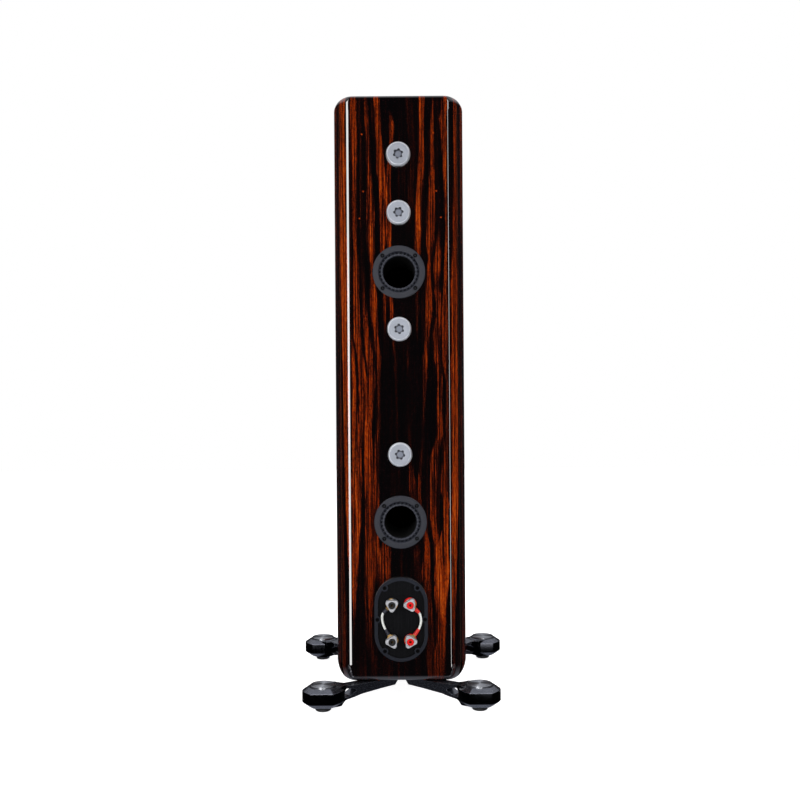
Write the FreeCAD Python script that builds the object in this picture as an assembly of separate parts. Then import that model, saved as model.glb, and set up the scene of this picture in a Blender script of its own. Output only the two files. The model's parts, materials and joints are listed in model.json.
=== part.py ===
import FreeCAD, Part
import math
import os

# Floorstanding loudspeaker: a slim bass-reflex tower on four outrigger feet.
# Frame: millimetres, origin on the floor under the middle of the feet, +Z up,
# -Y is the back with the terminals and ports, +Y is the listener's side.

V = FreeCAD.Vector

# ------------------------------------------------------------------ cabinet
cabinet_width = 242.0        # at its widest
cabinet_depth = 335.0
cabinet_height = 1065.0
floor_gap = 38.0             # floor to the cabinet's underside
side_wall = 20.0
back_wall = 25.0
baffle_wall = 30.0
top_wall = 25.0
base_wall = 30.0
edge_round_top = 3.0
edge_round_base = 8.0
back_corner_arcs = ((16.0, 48.0), (50.0, 24.0), (170.0, 18.0))   # radius, turn in degrees
side_bow_radius = 6000.0
front_corner_radius = 22.0
brace_thick = 15.0
brace_rail = 28.0            # width of a window brace round its opening
brace_gap = 2.0              # brace to a driver behind the baffle
shelf_thick = 12.0           # floor of the midrange chamber
wadding_thick = 12.0
wadding_gap = 3.0            # wadding to the braces and walls beside it

# ------------------------------------------------ places up the cabinet
midrange_below_top = 107.0
terminal_above_foot = 113.0  # middle of the terminal plate
tweeter_flange_gap = 5.0     # tweeter's plate to the midrange's flange
# How the spare height is shared out, from the foot up: plate to lower port, port to
# bolt, woofer to woofer, bolt to upper port, port to the tweeter's bolt.
spare_shares = (1.03, 1.06, 1.0, 0.68, 0.76)

# ------------------------------------------------------------------ drivers
fit_gap = 0.5                # a piece let into a recess or through a wall
trim_proud = 4.0
WOOFER = dict(cone_r=66.0, roll=9.0, flange_width=8.0, flange_thick=6.0, dish=17.0, coil_r=18.0,
              frame_depth=58.0, frame_back_r=45.0, magnet_r=50.0, magnet_thick=18.0)
MIDRANGE = dict(cone_r=40.0, roll=5.5, flange_width=6.5, flange_thick=6.0, dish=10.0, coil_r=12.5,
                frame_depth=36.0, frame_back_r=32.0, magnet_r=38.0, magnet_thick=14.0)
trim_cover = 3.0             # trim ring beyond the flange it hides
trim_bevel = 2.4
cone_setback = 6.0           # cone rim behind the baffle's face
cone_thick = 1.2
frame_wall = 3.0
frame_windows = 6
frame_window_turn = 30.0     # the first window, in degrees from level
frame_window_width = 0.62    # as a share of the frame's back radius
frame_window_start = 0.6     # how far in the windows are cut, as a share of that radius
coil_wall = 0.9
coil_gap = 0.5               # coil to pole, and coil to front plate
coil_overhang = 14.0         # coil below the front plate's face
plate_thick = 6.0            # front plate and back plate of a motor
plate_inset = 4.0            # the plates are smaller than the magnet by this
magnet_bore_gap = 5.0        # magnet's bore beyond the coil's gap
surround_wall = 1.0
soft_gap = 0.3               # a soft ring to the rigid pieces it is glued to
spider_thick = 0.8
spider_depth = 0.7           # its place down the frame's depth

tweeter_r = 46.0
tweeter_plate_thick = 6.0
tweeter_proud = 1.5
tweeter_flare_depth = 5.0    # the bevelled mouth round the slot
tweeter_flare_grow = 7.0
tweeter_slot_width = 26.0
tweeter_slot_height = 52.0
tweeter_grille_thick = 1.2
tweeter_grille_slots = 9
tweeter_grille_edge = 2.3    # solid border round the grille's slots
tweeter_grille_gap = 0.2
tweeter_slot_share = 0.6     # open part of each slot's pitch
tweeter_well_depth = 14.0
tweeter_body_width = 56.0
tweeter_body_height = 66.0
tweeter_body_depth = 34.0
film_pleats = 14
film_depth = 5.0
film_thick = 0.5
film_margin = 1.5
film_gap = 1.0               # behind the grille

# --------------------------------------------- tension bolts through the back
bolt_head_r = 22.0
bolt_head_height = 7.0
bolt_head_bevel = 2.2
bolt_seal_thick = 1.0
bolt_rod_r = 5.0
bolt_hole_gap = 0.5
bolt_thread_gap = 0.05
bolt_bite = 14.0             # thread in the motor's back
bolt_end_gap = 1.0
bolt_face_width = 6.0        # the flat ring inside the bevel
bolt_face_dish = 0.8
bolt_turns = (20.0, 5.0, 35.0, 50.0)    # how each came to rest, from the top
seal_inset = 1.5
drive_lobe_r = 2.5
drive_lobe_reach = 9.5
drive_depth = 4.5

# -------------------------------------------------------------------- ports
port_bore_r = 29.0
port_mouth_grow = 7.5        # mouth's radius beyond the bore's
port_flange_width = 11.5
port_flange_thick = 3.5
port_flange_edge = 0.8
port_lip = 2.0               # rounding of the mouth's lip
port_spigot = 3.0            # depth of the full-width body behind the flange
port_wall = 2.5
port_length = 150.0
port_flare = 22.0            # depth of the flare behind the flange
port_flare_share = 0.3       # how far the flare has opened at its middle ring
port_screw_inset = 6.0       # screw circle inside the flange's edge
screw_head_r = 3.6
screw_shank_r = 1.8
screw_length = 16.0
cross_arm = 1.9
cross_half_width = 0.4
cross_depth = 1.2
screw_sink = 0.6             # head below the surface it sits in

# ----------------------------------------------------------- terminal plate
plate_straight = 56.0        # between the two end arcs' centres
plate_land = 14.5            # plate's edge beyond the hole it covers
plate_edge_bevel = 1.2
plate_rim_thick = 6.0
plate_rim_width = 6.3
plate_field_thick = 3.5
cutout_gap = 5.5             # back nuts to the edge of the hole in the cabinet
gasket_thick = 1.0
gasket_margin = 1.5
plate_screw_inset = 6.9      # corner screws inside the plate's edge
plate_screw_angle = 44.5     # of the corner screws, up from level
plate_mid_screw_inset = 5.3  # the two level screws inside the plate's edge
plate_screw_boss_r = 6.0
post_spacing = 33.0
post_upper = 28.5            # above the plate's middle
post_lower = 37.5            # below the plate's middle
stud_r = 5.8
back_nut_r = 9.5             # across the corners
back_nut_thick = 5.0
stud_hole_gap = 0.2
stud_tail = 24.0             # inside the cabinet, behind the plate's field
socket_r = 2.0               # 4 mm plug bore
socket_depth = 19.0
collar_width = 5.5           # beyond the stud, as are the widths below
collar_thick = 3.0
collar_edge = 0.8
spade_thick = 0.8
spade_width = 4.7
spade_tail_half = 3.0
spade_gap = 0.4
washer_width = 3.2
washer_thick = 1.2
thread_gap = 0.06            # running fit on the stud
post_travel = 4.0            # the nut's lift
nut_start_gap = 0.2
nut_thread = 4.0
nut_stop_gap = 0.3
cap_lip = 0.7
cap_thick = 3.5
cap_edge = 0.6
cap_mouth = 0.8
cap_gap = 0.3
cap_hole_gap = 0.25          # cap's hole wider than the plug bore
cap_stem_wall = 2.0
cap_stem_depth = 3.0
nut_lobe_r = 4.6
nut_lobe_reach = 6.4
nut_bevel = 0.6
nut_proud = 0.2              # nut's face beyond the cap
nut_recess_depth = 1.2
nut_recess_margin = 1.5
nut_collar = 0.9             # wall left round the cap in the recess
NUT_TURNS = {"upper_black": 30.0, "upper_red": 60.0, "lower_black": 60.0, "lower_red": 0.0}

# ------------------------------------------------------------ jumper links
link_r = 2.1
link_height = 5.4            # centre line above the plate's field
boot_beyond_stud = 7.2       # start of a boot, out from the stud's surface
boot_r = 3.6
boot_end_r = 2.7
# post, direction of the spade's tail in degrees, boot's end from the post
LINK_ENDS = {"black": ((224.0, 22.0), (120.0, 24.5)), "red": ((316.0, 22.0), (54.0, 26.0))}
LINK_HEADINGS = {"black": (238.0, 270.0, 300.0), "red": (300.0, 270.0, 243.0)}

# ---------------------------------------------------------------- crossover
board_width = 150.0
board_depth = 190.0
board_thick = 2.0
standoff_height = 10.0
standoff_r = 4.0
standoff_inset = 8.0
fixing_depth = 9.0           # of a board screw in the base panel
fixing_head = 2.0
# x, y on the board, radius, height
COILS = ((-48.0, 55.0, 24.0, 26.0), (40.0, 62.0, 27.0, 30.0),
         (-46.0, -58.0, 21.0, 22.0), (46.0, -56.0, 18.0, 18.0))
coil_core_r = 8.0
bobbin_wall = 2.0
# x, y on the board, radius, length along X
CAPACITORS = ((0.0, 6.0, 13.0, 52.0), (0.0, -24.0, 11.0, 46.0),
              (2.0, -70.0, 9.0, 38.0), (-2.0, -48.0, 8.0, 34.0))
# x, y on the board, length along Y
RESISTORS = ((-66.0, 0.0, 44.0), (64.0, 0.0, 44.0), (-52.0, 2.0, 40.0))
resistor_side = 9.0

# --------------------------------------------------------------------- feet
rear_foot_beside = 18.0      # beyond the cabinet's side
rear_foot_setback = 45.0     # behind the back face
front_foot_beside = 49.0
front_foot_inset = 18.0      # behind the front face
arm_angle = 33.0             # from level across the cabinet, in plan
arm_end_x = 10.0             # where an arm stops short of the middle
arm_end_chamfer = 10.0
arm_half_width_tip = 22.0
arm_half_width = 12.0
arm_neck = (26.0, 40.0)      # where the arm narrows, from the foot's axis
arm_window_round = 1.5
arm_screw_places = (100.0, 14.0)    # from the foot's axis, and back from the arm's end
arm_screw_r = 3.0
arm_screw_head_r = 5.0
arm_screw_head_height = 5.0
arm_screw_hex_r = 2.9
arm_screw_hex_depth = 3.0
arm_screw_seat = 8.0         # seat under the head, below the cabinet
arm_screw_bite = 20.0        # thread in the base panel
arm_screw_gap = 0.3
tip_wall = 3.2               # wall round the knob's well
tip_under_r = 24.0
tip_under = 8.0
tip_band_low = 16.5
tip_band_drop = 2.0          # the band's upper edge, below the cabinet's underside
tip_rise = 5.0               # the tip's top, above the cabinet's underside
knob_r = 23.0
knob_height = 8.4
knob_bevel = 1.0
knob_gap = 0.4               # knob to its well
knob_travel = 6.0            # how far the knob can be screwed down
knob_floor_gap = 0.4         # left under the knob at the end of that travel
knob_groove_inset = 3.5
knob_groove = 0.8
stem_r = 5.0
stem_gap = 0.06              # running fit
stem_end_gap = 0.3           # stem to the floor of its socket
pad_r = 14.0
pad_thick = 5.6
pad_socket_floor = 2.5
pad_bevel = 1.5
pad_edge = 0.8

# ------------------------------------------------------------- derived places
foot_span = cabinet_depth + rear_foot_setback - front_foot_inset
rear_foot_x = cabinet_width / 2 + rear_foot_beside
front_foot_x = cabinet_width / 2 + front_foot_beside
rear_foot_y = -foot_span / 2
front_foot_y = foot_span / 2
back_y = rear_foot_y + rear_foot_setback
front_y = back_y + cabinet_depth
cabinet_top = floor_gap + cabinet_height
inner_floor = floor_gap + base_wall
inner_roof = cabinet_top - top_wall
inner_back = back_y + back_wall
inner_front = front_y - baffle_wall
cavity_half = cabinet_width / 2 - side_wall
field_y = back_y - gasket_thick - plate_field_thick

port_mouth_r = port_bore_r + port_mouth_grow
port_flange_r = port_mouth_r + port_flange_width
port_body_r = port_mouth_r + port_wall
post_corner = math.hypot(post_spacing / 2, max(post_upper, post_lower) - plate_straight / 2)
plate_cutout_r = post_corner + back_nut_r + cutout_gap
plate_r = plate_cutout_r + plate_land
plate_half_height = plate_straight / 2 + plate_r

# One quarter of an outrigger tip's rim, and heights along its arm from the foot's axis.
TIP_OUTLINE = ((knob_r + 14.0, 4.0), (knob_r + 10.0, 14.0), (knob_r + 1.5, knob_r + 3.0),
               (knob_r - 3.0, knob_r + 7.5))
tip_top_r = knob_r + knob_gap + tip_wall
tip_band_high = floor_gap - tip_band_drop
tip_top = floor_gap + tip_rise
knob_under = floor_gap
knob_top = knob_under + knob_height
knob_well_floor = knob_under - knob_travel - knob_floor_gap
arm_seat = floor_gap - arm_screw_seat
ARM_TOP = ((0.0, floor_gap + 4.0), (33.0, floor_gap + 4.0), (50.0, floor_gap))
ARM_UNDER = ((24.0, tip_under), (35.0, 13.0), (58.0, 16.5), (72.0, 19.5), (112.0, floor_gap - 15.0))
arm_end_under = floor_gap - 13.0
ARM_WINDOW = ((35.5, 17.5), (35.5, floor_gap - 9.0), (41.0, floor_gap - 4.0), (52.0, floor_gap - 5.0),
              (64.0, floor_gap - 9.5), (48.0, 20.0))


def frame_mouth_r(kind):
    """Outer radius of a driver's frame where it passes the baffle."""
    return kind["cone_r"] + kind["roll"] + frame_wall


def flange_r(kind):
    return frame_mouth_r(kind) + kind["flange_width"]


def trim_r(kind):
    return flange_r(kind) + trim_cover


# Up the cabinet, each piece clears the next by its share of the spare height.
terminal_z = floor_gap + terminal_above_foot
midrange_z = cabinet_top - midrange_below_top
tweeter_z = midrange_z - flange_r(MIDRANGE) - tweeter_r - tweeter_flange_gap
spare_height = (tweeter_z - bolt_head_r - terminal_z - plate_half_height - 4 * port_flange_r
                - 2 * bolt_head_r - 2 * trim_r(WOOFER))
gaps = [spare_height * share / sum(spare_shares) for share in spare_shares]
lower_port_z = terminal_z + plate_half_height + gaps[0] + port_flange_r
lower_woofer_z = lower_port_z + port_flange_r + gaps[1] + bolt_head_r
upper_woofer_z = lower_woofer_z + 2 * trim_r(WOOFER) + gaps[2]
upper_port_z = upper_woofer_z + bolt_head_r + gaps[3] + port_flange_r

port_places = (upper_port_z, lower_port_z)
woofer_places = {"upper": upper_woofer_z, "lower": lower_woofer_z}
bolt_places = (midrange_z, tweeter_z, upper_woofer_z, lower_woofer_z)
brace_places = (
    (terminal_z + plate_straight / 2 + plate_cutout_r + lower_port_z - port_body_r) / 2,
    (lower_woofer_z + upper_woofer_z) / 2,
    (upper_port_z + port_body_r + tweeter_z - tweeter_body_height / 2) / 2,
)
shelf_z = (tweeter_z + tweeter_body_height / 2 + midrange_z - frame_mouth_r(MIDRANGE)) / 2


# ------------------------------------------------------------------- helpers
def save(name, *solids):
    """Write one node, as a single solid or a group of separate ones."""
    shape = solids[0] if len(solids) == 1 else Part.makeCompound(list(solids))
    shape.exportStep("parts/" + name + ".step")


def polygon_face(points):
    return Part.Face(Part.makePolygon([V(*p) for p in points] + [V(*points[0])]))


def block(x0, x1, y0, y1, z0, z1):
    return Part.makeBox(x1 - x0, y1 - y0, z1 - z0, V(x0, y0, z0))


def rod_y(radius, y0, y1, x, z):
    """A cylinder along Y between two depths."""
    return Part.makeCylinder(radius, y1 - y0, V(x, y0, z), V(0, 1, 0))


def ring_y(outer, inner, y0, y1, x, z):
    return rod_y(outer, y0, y1, x, z).cut(rod_y(inner, y0 - 1, y1 + 1, x, z))


def turned_y(profile, x, y, z, outward):
    """Spin a closed (radius, distance outward) profile about a line along Y through (x, y, z)."""
    face = polygon_face([(r, outward * t, 0) for r, t in profile])
    solid = face.revolve(V(0, 0, 0), V(0, 1, 0), 360)
    solid.translate(V(x, y, z))
    return tidy_solid(solid)


def turned_z(profile, x, y):
    """Spin a closed (radius, height) profile about a vertical line."""
    solid = polygon_face([(r, 0, h) for r, h in profile]).revolve(V(0, 0, 0), V(0, 0, 1), 360)
    solid.translate(V(x, y, 0))
    return tidy_solid(solid)


def tidy_solid(shape):
    """The one solid of a shape, turned right side out."""
    solid = shape.Solids[0]
    if solid.Volume < 0:
        solid.reverse()
    return solid


def cut_all(solid, tools):
    return solid.cut(Part.makeCompound(list(tools))) if tools else solid


def stadium_y(radius, straight, y0, y1, x, z):
    """An upright stadium, flat across Y between two depths."""
    half = straight / 2
    edges = [
        Part.LineSegment(V(radius, 0, -half), V(radius, 0, half)).toShape(),
        Part.Arc(V(radius, 0, half), V(0, 0, half + radius), V(-radius, 0, half)).toShape(),
        Part.LineSegment(V(-radius, 0, half), V(-radius, 0, -half)).toShape(),
        Part.Arc(V(-radius, 0, -half), V(0, 0, -half - radius), V(radius, 0, -half)).toShape(),
    ]
    solid = Part.Face(Part.Wire(edges)).extrude(V(0, y1 - y0, 0))
    solid.translate(V(x, y0, z))
    return tidy_solid(solid)


def mirror_x(shape):
    return shape.mirror(V(0, 0, 0), V(1, 0, 0))


def mirror_y(shape):
    return shape.mirror(V(0, 0, 0), V(0, 1, 0))


# ------------------------------------------------------------ cabinet's plan
def arc_run(start, heading, radius, turn):
    """An arc that leaves start along heading and turns left, with its end and new heading."""
    first, last = math.radians(heading), math.radians(heading + turn)
    middle = (first + last) / 2

    def place(angle):
        return V(start.x + radius * (math.sin(angle) - math.sin(first)),
                 start.y + radius * (math.cos(first) - math.cos(angle)), start.z)

    return Part.Arc(start, place(middle), place(last)).toShape(), place(last), heading + turn


def corner_size(arcs):
    """How far a run of arcs, from level across to square on, goes across and forward."""
    across, forward, heading = 0.0, 0.0, 0.0
    for radius, turn in arcs:
        first, last = math.radians(heading), math.radians(heading + turn)
        across += radius * (math.sin(last) - math.sin(first))
        forward += radius * (math.cos(first) - math.cos(last))
        heading += turn
    return across, forward


corner_across, corner_forward = corner_size(back_corner_arcs)
back_flat_half = cabinet_width / 2 - corner_across
bow_sine = (cabinet_depth - corner_forward - front_corner_radius) / (side_bow_radius - front_corner_radius)
bow_turn = math.degrees(math.asin(bow_sine))
bow_across = side_bow_radius * (1 - math.cos(math.radians(bow_turn)))
front_flat_half = cabinet_width / 2 - bow_across - front_corner_radius * math.cos(math.radians(bow_turn))


def plan_wire(z):
    """The cabinet's outline at a height: flat back, soft rear corners, bowed sides, flat front."""
    edges = []
    point, heading = V(back_flat_half, back_y, z), 0.0
    arcs = back_corner_arcs + ((side_bow_radius, bow_turn), (front_corner_radius, 90.0 - bow_turn))
    for radius, turn in arcs:
        edge, point, heading = arc_run(point, heading, radius, turn)
        edges.append(edge)
    edges += [mirror_x(edge) for edge in edges]
    edges.append(Part.LineSegment(V(-back_flat_half, back_y, z), V(back_flat_half, back_y, z)).toShape())
    edges.append(Part.LineSegment(V(point.x, point.y, z), V(-point.x, point.y, z)).toShape())
    return Part.Wire(Part.__sortEdges__(edges))


def plan_slab(z0, z1):
    return tidy_solid(Part.Face(plan_wire(z0)).extrude(V(0, 0, z1 - z0)))


def rounded_rim(slab, z, radius):
    """Round the outer edge of a slab's face at height z."""
    rim = [e for e in slab.Edges if abs(e.BoundBox.ZMin - z) < 0.01 and abs(e.BoundBox.ZMax - z) < 0.01]
    return slab.makeFillet(radius, rim)


# ------------------------------------------------------ pieces let into walls
def port_screw_places(z):
    """The four flange screws of a port."""
    circle_r = port_flange_r - port_screw_inset
    turns = [math.radians(angle) for angle in (45, 135, 225, 315)]
    return [(circle_r * math.cos(turn), z + circle_r * math.sin(turn)) for turn in turns]


def plate_screw_places():
    """The six screws of the terminal plate."""
    corner_r, turn = plate_r - plate_screw_inset, math.radians(plate_screw_angle)
    across, up = corner_r * math.cos(turn), plate_straight / 2 + corner_r * math.sin(turn)
    level = plate_r - plate_mid_screw_inset
    corners = [(sx * across, terminal_z + sz * up) for sx in (-1, 1) for sz in (-1, 1)]
    return corners + [(-level, terminal_z), (level, terminal_z)]


def countersunk_screw(x, y, z):
    """A screw, or its close-fitting hole, whose head faces -Y with its face at depth y."""
    slope = screw_head_r - screw_shank_r
    profile = [(0, 0), (screw_head_r, 0), (screw_shank_r, -slope), (screw_shank_r, -screw_length),
               (0, -screw_length)]
    return turned_y(profile, x, y, z, -1)


def screw_with_cross(x, y, z):
    long, short = cross_arm, cross_half_width
    cross = block(x - long, x + long, y - 1, y + cross_depth, z - short, z + short)
    cross = cross.fuse(block(x - short, x + short, y - 1, y + cross_depth, z - long, z + long))
    return countersunk_screw(x, y, z).cut(cross)


def screw_hole(x, y, z):
    """A countersunk hole, open to -Y past the surface it starts in."""
    mouth = rod_y(screw_head_r, y - 5, y, x, z)
    return countersunk_screw(x, y, z).fuse(mouth)


# ---------------------------------------------------------------- the cabinet
def driver_holes():
    """Recesses for the flanges and openings for the frames and the tweeter's body."""
    holes = []
    for kind, z in driver_places():
        holes.append(rod_y(flange_r(kind) + fit_gap, front_y - kind["flange_thick"], front_y + 1, 0, z))
        holes.append(rod_y(frame_mouth_r(kind) + fit_gap, inner_front - 1, front_y, 0, z))
    holes.append(rod_y(tweeter_r + fit_gap, front_y - tweeter_plate_thick, front_y + 1, 0, tweeter_z))
    half_w = tweeter_body_width / 2 + fit_gap
    half_h = tweeter_body_height / 2 + fit_gap
    holes.append(block(-half_w, half_w, inner_front - 1, front_y, tweeter_z - half_h, tweeter_z + half_h))
    return holes


def build_cabinet():
    middle = plan_slab(inner_floor, inner_roof)
    low, high = inner_floor, inner_roof
    back_space = block(-back_flat_half, back_flat_half, back_y - 1, inner_back, low, high)
    front_space = block(-front_flat_half, front_flat_half, inner_front, front_y + 1, low, high)
    cavity = block(-cavity_half, cavity_half, inner_back, inner_front, low, high)
    sides = cut_all(middle, [back_space, front_space, cavity] + driver_holes()).Solids
    left, right = sorted(sides, key=lambda s: s.CenterOfMass.x)
    save("side_panel_left", left)
    save("side_panel_right", right)

    back = block(-back_flat_half, back_flat_half, back_y, inner_back, low, high)
    holes = [rod_y(port_body_r + fit_gap, back_y - 1, inner_back + 1, 0, z) for z in port_places]
    holes += [rod_y(bolt_rod_r + bolt_hole_gap, back_y - 1, inner_back + 1, 0, z) for z in bolt_places]
    holes.append(stadium_y(plate_cutout_r, plate_straight, back_y - 1, inner_back + 1, 0, terminal_z))
    flange_y = back_y - port_flange_thick + screw_sink
    holes += [countersunk_screw(x, flange_y, z) for p in port_places for x, z in port_screw_places(p)]
    rim_y = back_y - gasket_thick - plate_rim_thick + screw_sink
    holes += [countersunk_screw(x, rim_y, z) for x, z in plate_screw_places()]
    save("back_panel", tidy_solid(cut_all(back, holes)))

    baffle = block(-front_flat_half, front_flat_half, inner_front, front_y, low, high)
    save("front_baffle", tidy_solid(cut_all(baffle, driver_holes())))

    top = plan_slab(inner_roof, cabinet_top)
    save("top_panel", tidy_solid(rounded_rim(top, cabinet_top, edge_round_top)))

    base = rounded_rim(plan_slab(floor_gap, inner_floor), floor_gap, edge_round_base)
    threads = []
    for x, y in arm_screws():
        threads.append(Part.makeCylinder(arm_screw_r, arm_screw_bite + 1, V(x, y, floor_gap - 1)))
    for x, y in standoff_places():
        end = V(x, y, inner_floor - fixing_depth)
        threads.append(Part.makeCylinder(screw_shank_r, fixing_depth + 1, end))
    save("base_panel", tidy_solid(cut_all(base, threads)))


def build_braces():
    """Window braces, each notched where a tweeter's body would otherwise meet it."""
    window_half = cavity_half - brace_rail
    half_w, half_h = tweeter_body_width / 2 + brace_gap, tweeter_body_height / 2 + brace_gap
    tweeter_back = front_y - tweeter_plate_thick - tweeter_body_depth
    notch = block(-half_w, half_w, tweeter_back - brace_gap, front_y, tweeter_z - half_h, tweeter_z + half_h)
    braces = []
    for z in brace_places:
        low, high = z - brace_thick / 2, z + brace_thick / 2
        plate = block(-cavity_half, cavity_half, inner_back, inner_front, low, high)
        window = block(-window_half, window_half, inner_back + brace_rail, inner_front - brace_rail,
                       z - brace_thick, z + brace_thick)
        upright = [e for e in window.Edges if e.BoundBox.ZLength > brace_thick]
        braces.append(plate.cut(window.makeFillet(brace_rail / 2, upright)).cut(notch))
    save("window_braces", *braces)

    low, high = shelf_z - shelf_thick / 2, shelf_z + shelf_thick / 2
    save("midrange_shelf", block(-cavity_half, cavity_half, inner_back, inner_front, low, high))


def build_wadding():
    """Felt sheets on the inside of both side panels, one between each pair of braces."""
    levels = [inner_floor]
    for z in brace_places:
        levels += [z - brace_thick / 2, z + brace_thick / 2]
    levels.append(shelf_z - shelf_thick / 2)
    sheets = []
    for low, high in zip(levels[0::2], levels[1::2]):
        sheet = block(cavity_half - wadding_thick, cavity_half, inner_back + wadding_gap,
                      inner_front - wadding_gap, low + wadding_gap, high - wadding_gap)
        sheets += [sheet, mirror_x(sheet)]
    save("wadding", *sheets)


# ------------------------------------------------------------------- drivers
def driver_places():
    return ((WOOFER, woofer_places["upper"]), (WOOFER, woofer_places["lower"]), (MIDRANGE, midrange_z))


def dish_radius(kind):
    return (kind["cone_r"] ** 2 + kind["dish"] ** 2) / (2 * kind["dish"])


def dish_level(kind, radius):
    """Outward level of the cone's front face at a radius, from the baffle's face."""
    ball = dish_radius(kind)
    return -cone_setback - kind["dish"] + ball - math.sqrt(ball ** 2 - radius ** 2)


def driver_cone(kind, z):
    rim, half = kind["cone_r"], kind["cone_r"] / 2

    def spot(radius, lift):
        return V(radius, dish_level(kind, radius) + lift, 0)

    front = Part.Arc(spot(0, 0), spot(half, 0), spot(rim, 0)).toShape()
    back = Part.Arc(spot(0, -cone_thick), spot(half, -cone_thick), spot(rim, -cone_thick)).toShape()
    edge = Part.LineSegment(spot(rim, 0), spot(rim, -cone_thick)).toShape()
    middle = Part.LineSegment(spot(0, 0), spot(0, -cone_thick)).toShape()
    face = Part.Face(Part.Wire(Part.__sortEdges__([front, back, edge, middle])))
    solid = face.revolve(V(0, 0, 0), V(0, 1, 0), 360)
    solid.translate(V(0, front_y, z))
    return tidy_solid(solid)


def driver_coil(kind, z):
    inner = kind["coil_r"] - coil_wall
    top = dish_level(kind, inner) - cone_thick
    low = -kind["frame_depth"] - coil_overhang
    profile = [(inner, low), (kind["coil_r"], low), (kind["coil_r"], top), (inner, top)]
    return turned_y(profile, 0, front_y, z, 1)


def driver_frame(kind, z):
    """Cast frame: a flange let into the baffle, a windowed skirt and a seat for the motor."""
    mouth = frame_mouth_r(kind)
    depth, back_r = kind["frame_depth"], kind["frame_back_r"]
    thick, well = kind["flange_thick"], kind["coil_r"] + coil_gap
    profile = [(mouth - frame_wall, 0), (flange_r(kind), 0), (flange_r(kind), -thick), (mouth, -thick),
               (back_r + frame_wall, -depth), (well, -depth), (well, frame_wall - depth),
               (back_r - frame_wall, frame_wall - depth), (mouth - frame_wall, -thick)]
    frame = turned_y(profile, 0, front_y, z, 1)
    length = depth - thick - 4 * frame_wall
    width = back_r * frame_window_width
    y = front_y - thick - 2 * frame_wall - length
    windows = []
    for i in range(frame_windows):
        window = block(back_r * frame_window_start, mouth + 2, y, y + length, -width / 2, width / 2)
        window.rotate(V(0, 0, 0), V(0, 1, 0), i * 360 / frame_windows + frame_window_turn)
        window.translate(V(0, 0, z))
        windows.append(window)
    return tidy_solid(cut_all(frame, windows))


def driver_motor(kind, z):
    """Front plate, ring magnet and back plate with its pole; the pole takes the tension bolt."""
    seat = -kind["frame_depth"]
    magnet_top = seat - plate_thick
    magnet_low = magnet_top - kind["magnet_thick"]
    back = magnet_low - plate_thick
    gap_r = kind["coil_r"] + coil_gap
    pole_r = kind["coil_r"] - coil_wall - coil_gap
    steel_r = kind["magnet_r"] - plate_inset
    thread_r = bolt_rod_r + bolt_thread_gap
    front_plate = ring_y(steel_r, gap_r, front_y + magnet_top, front_y + seat, 0, z)
    magnet_bore_r = gap_r + magnet_bore_gap
    magnet = ring_y(kind["magnet_r"], magnet_bore_r, front_y + magnet_low, front_y + magnet_top, 0, z)
    profile = [(0, back + bolt_bite), (thread_r, back + bolt_bite), (thread_r, back), (steel_r, back),
               (steel_r, magnet_low), (pole_r, magnet_low), (pole_r, seat), (0, seat)]
    return [front_plate, magnet, turned_y(profile, 0, front_y, z, 1)]


def motor_back(kind):
    """Depth of a motor's back face behind the baffle's face."""
    return kind["frame_depth"] + 2 * plate_thick + kind["magnet_thick"]


def driver_surround(kind, z):
    """A half roll of rubber between the cone's rim and the frame."""
    inner, outer = kind["cone_r"] + soft_gap, kind["cone_r"] + kind["roll"] - soft_gap
    middle, level = (inner + outer) / 2, -cone_setback
    big, small = (outer - inner) / 2, (outer - inner) / 2 - surround_wall
    arcs = []
    for radius in (big, small):
        arcs.append(Part.Arc(V(middle - radius, level, 0), V(middle, level + radius, 0),
                             V(middle + radius, level, 0)).toShape())
    lips = []
    for side in (-1, 1):
        ends = V(middle + side * small, level, 0), V(middle + side * big, level, 0)
        lips.append(Part.LineSegment(*ends).toShape())
    face = Part.Face(Part.Wire(Part.__sortEdges__(arcs + lips)))
    solid = face.revolve(V(0, 0, 0), V(0, 1, 0), 360)
    solid.translate(V(0, front_y, z))
    return tidy_solid(solid)


def driver_spider(kind, z):
    level = -kind["frame_depth"] * spider_depth
    wide, thick = frame_mouth_r(kind) - frame_wall, kind["flange_thick"]
    narrow = kind["frame_back_r"] - frame_wall
    share = (spider_thick - level - thick) / (kind["frame_depth"] - frame_wall - thick)
    outer = wide - share * (wide - narrow) - soft_gap
    return turned_y([(kind["coil_r"] + soft_gap, level), (outer, level), (outer, level - spider_thick),
                     (kind["coil_r"] + soft_gap, level - spider_thick)], 0, front_y, z, 1)


def driver_trim(kind, z):
    """The bright ring that hides the flange."""
    inner, outer = kind["cone_r"] + kind["roll"], trim_r(kind)
    profile = [(inner, 0), (outer, 0), (outer, trim_proud - trim_bevel), (outer - trim_bevel, trim_proud),
               (inner + trim_bevel, trim_proud), (inner, trim_proud - trim_bevel)]
    return turned_y(profile, 0, front_y, z, 1)


def build_drivers():
    save("driver_frames", *[driver_frame(kind, z) for kind, z in driver_places()])
    save("driver_motors", *[solid for kind, z in driver_places() for solid in driver_motor(kind, z)])
    for name, z in woofer_places.items():
        save("woofer_cone_" + name, driver_cone(WOOFER, z))
        save("voice_coil_" + name, driver_coil(WOOFER, z))
    save("midrange_cone", driver_cone(MIDRANGE, midrange_z))
    save("midrange_coil", driver_coil(MIDRANGE, midrange_z))
    save("surrounds", *[driver_surround(kind, z) for kind, z in driver_places()])
    save("spiders", *[driver_spider(kind, z) for kind, z in driver_places()])
    save("driver_trims", *[driver_trim(kind, z) for kind, z in driver_places()])


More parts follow.
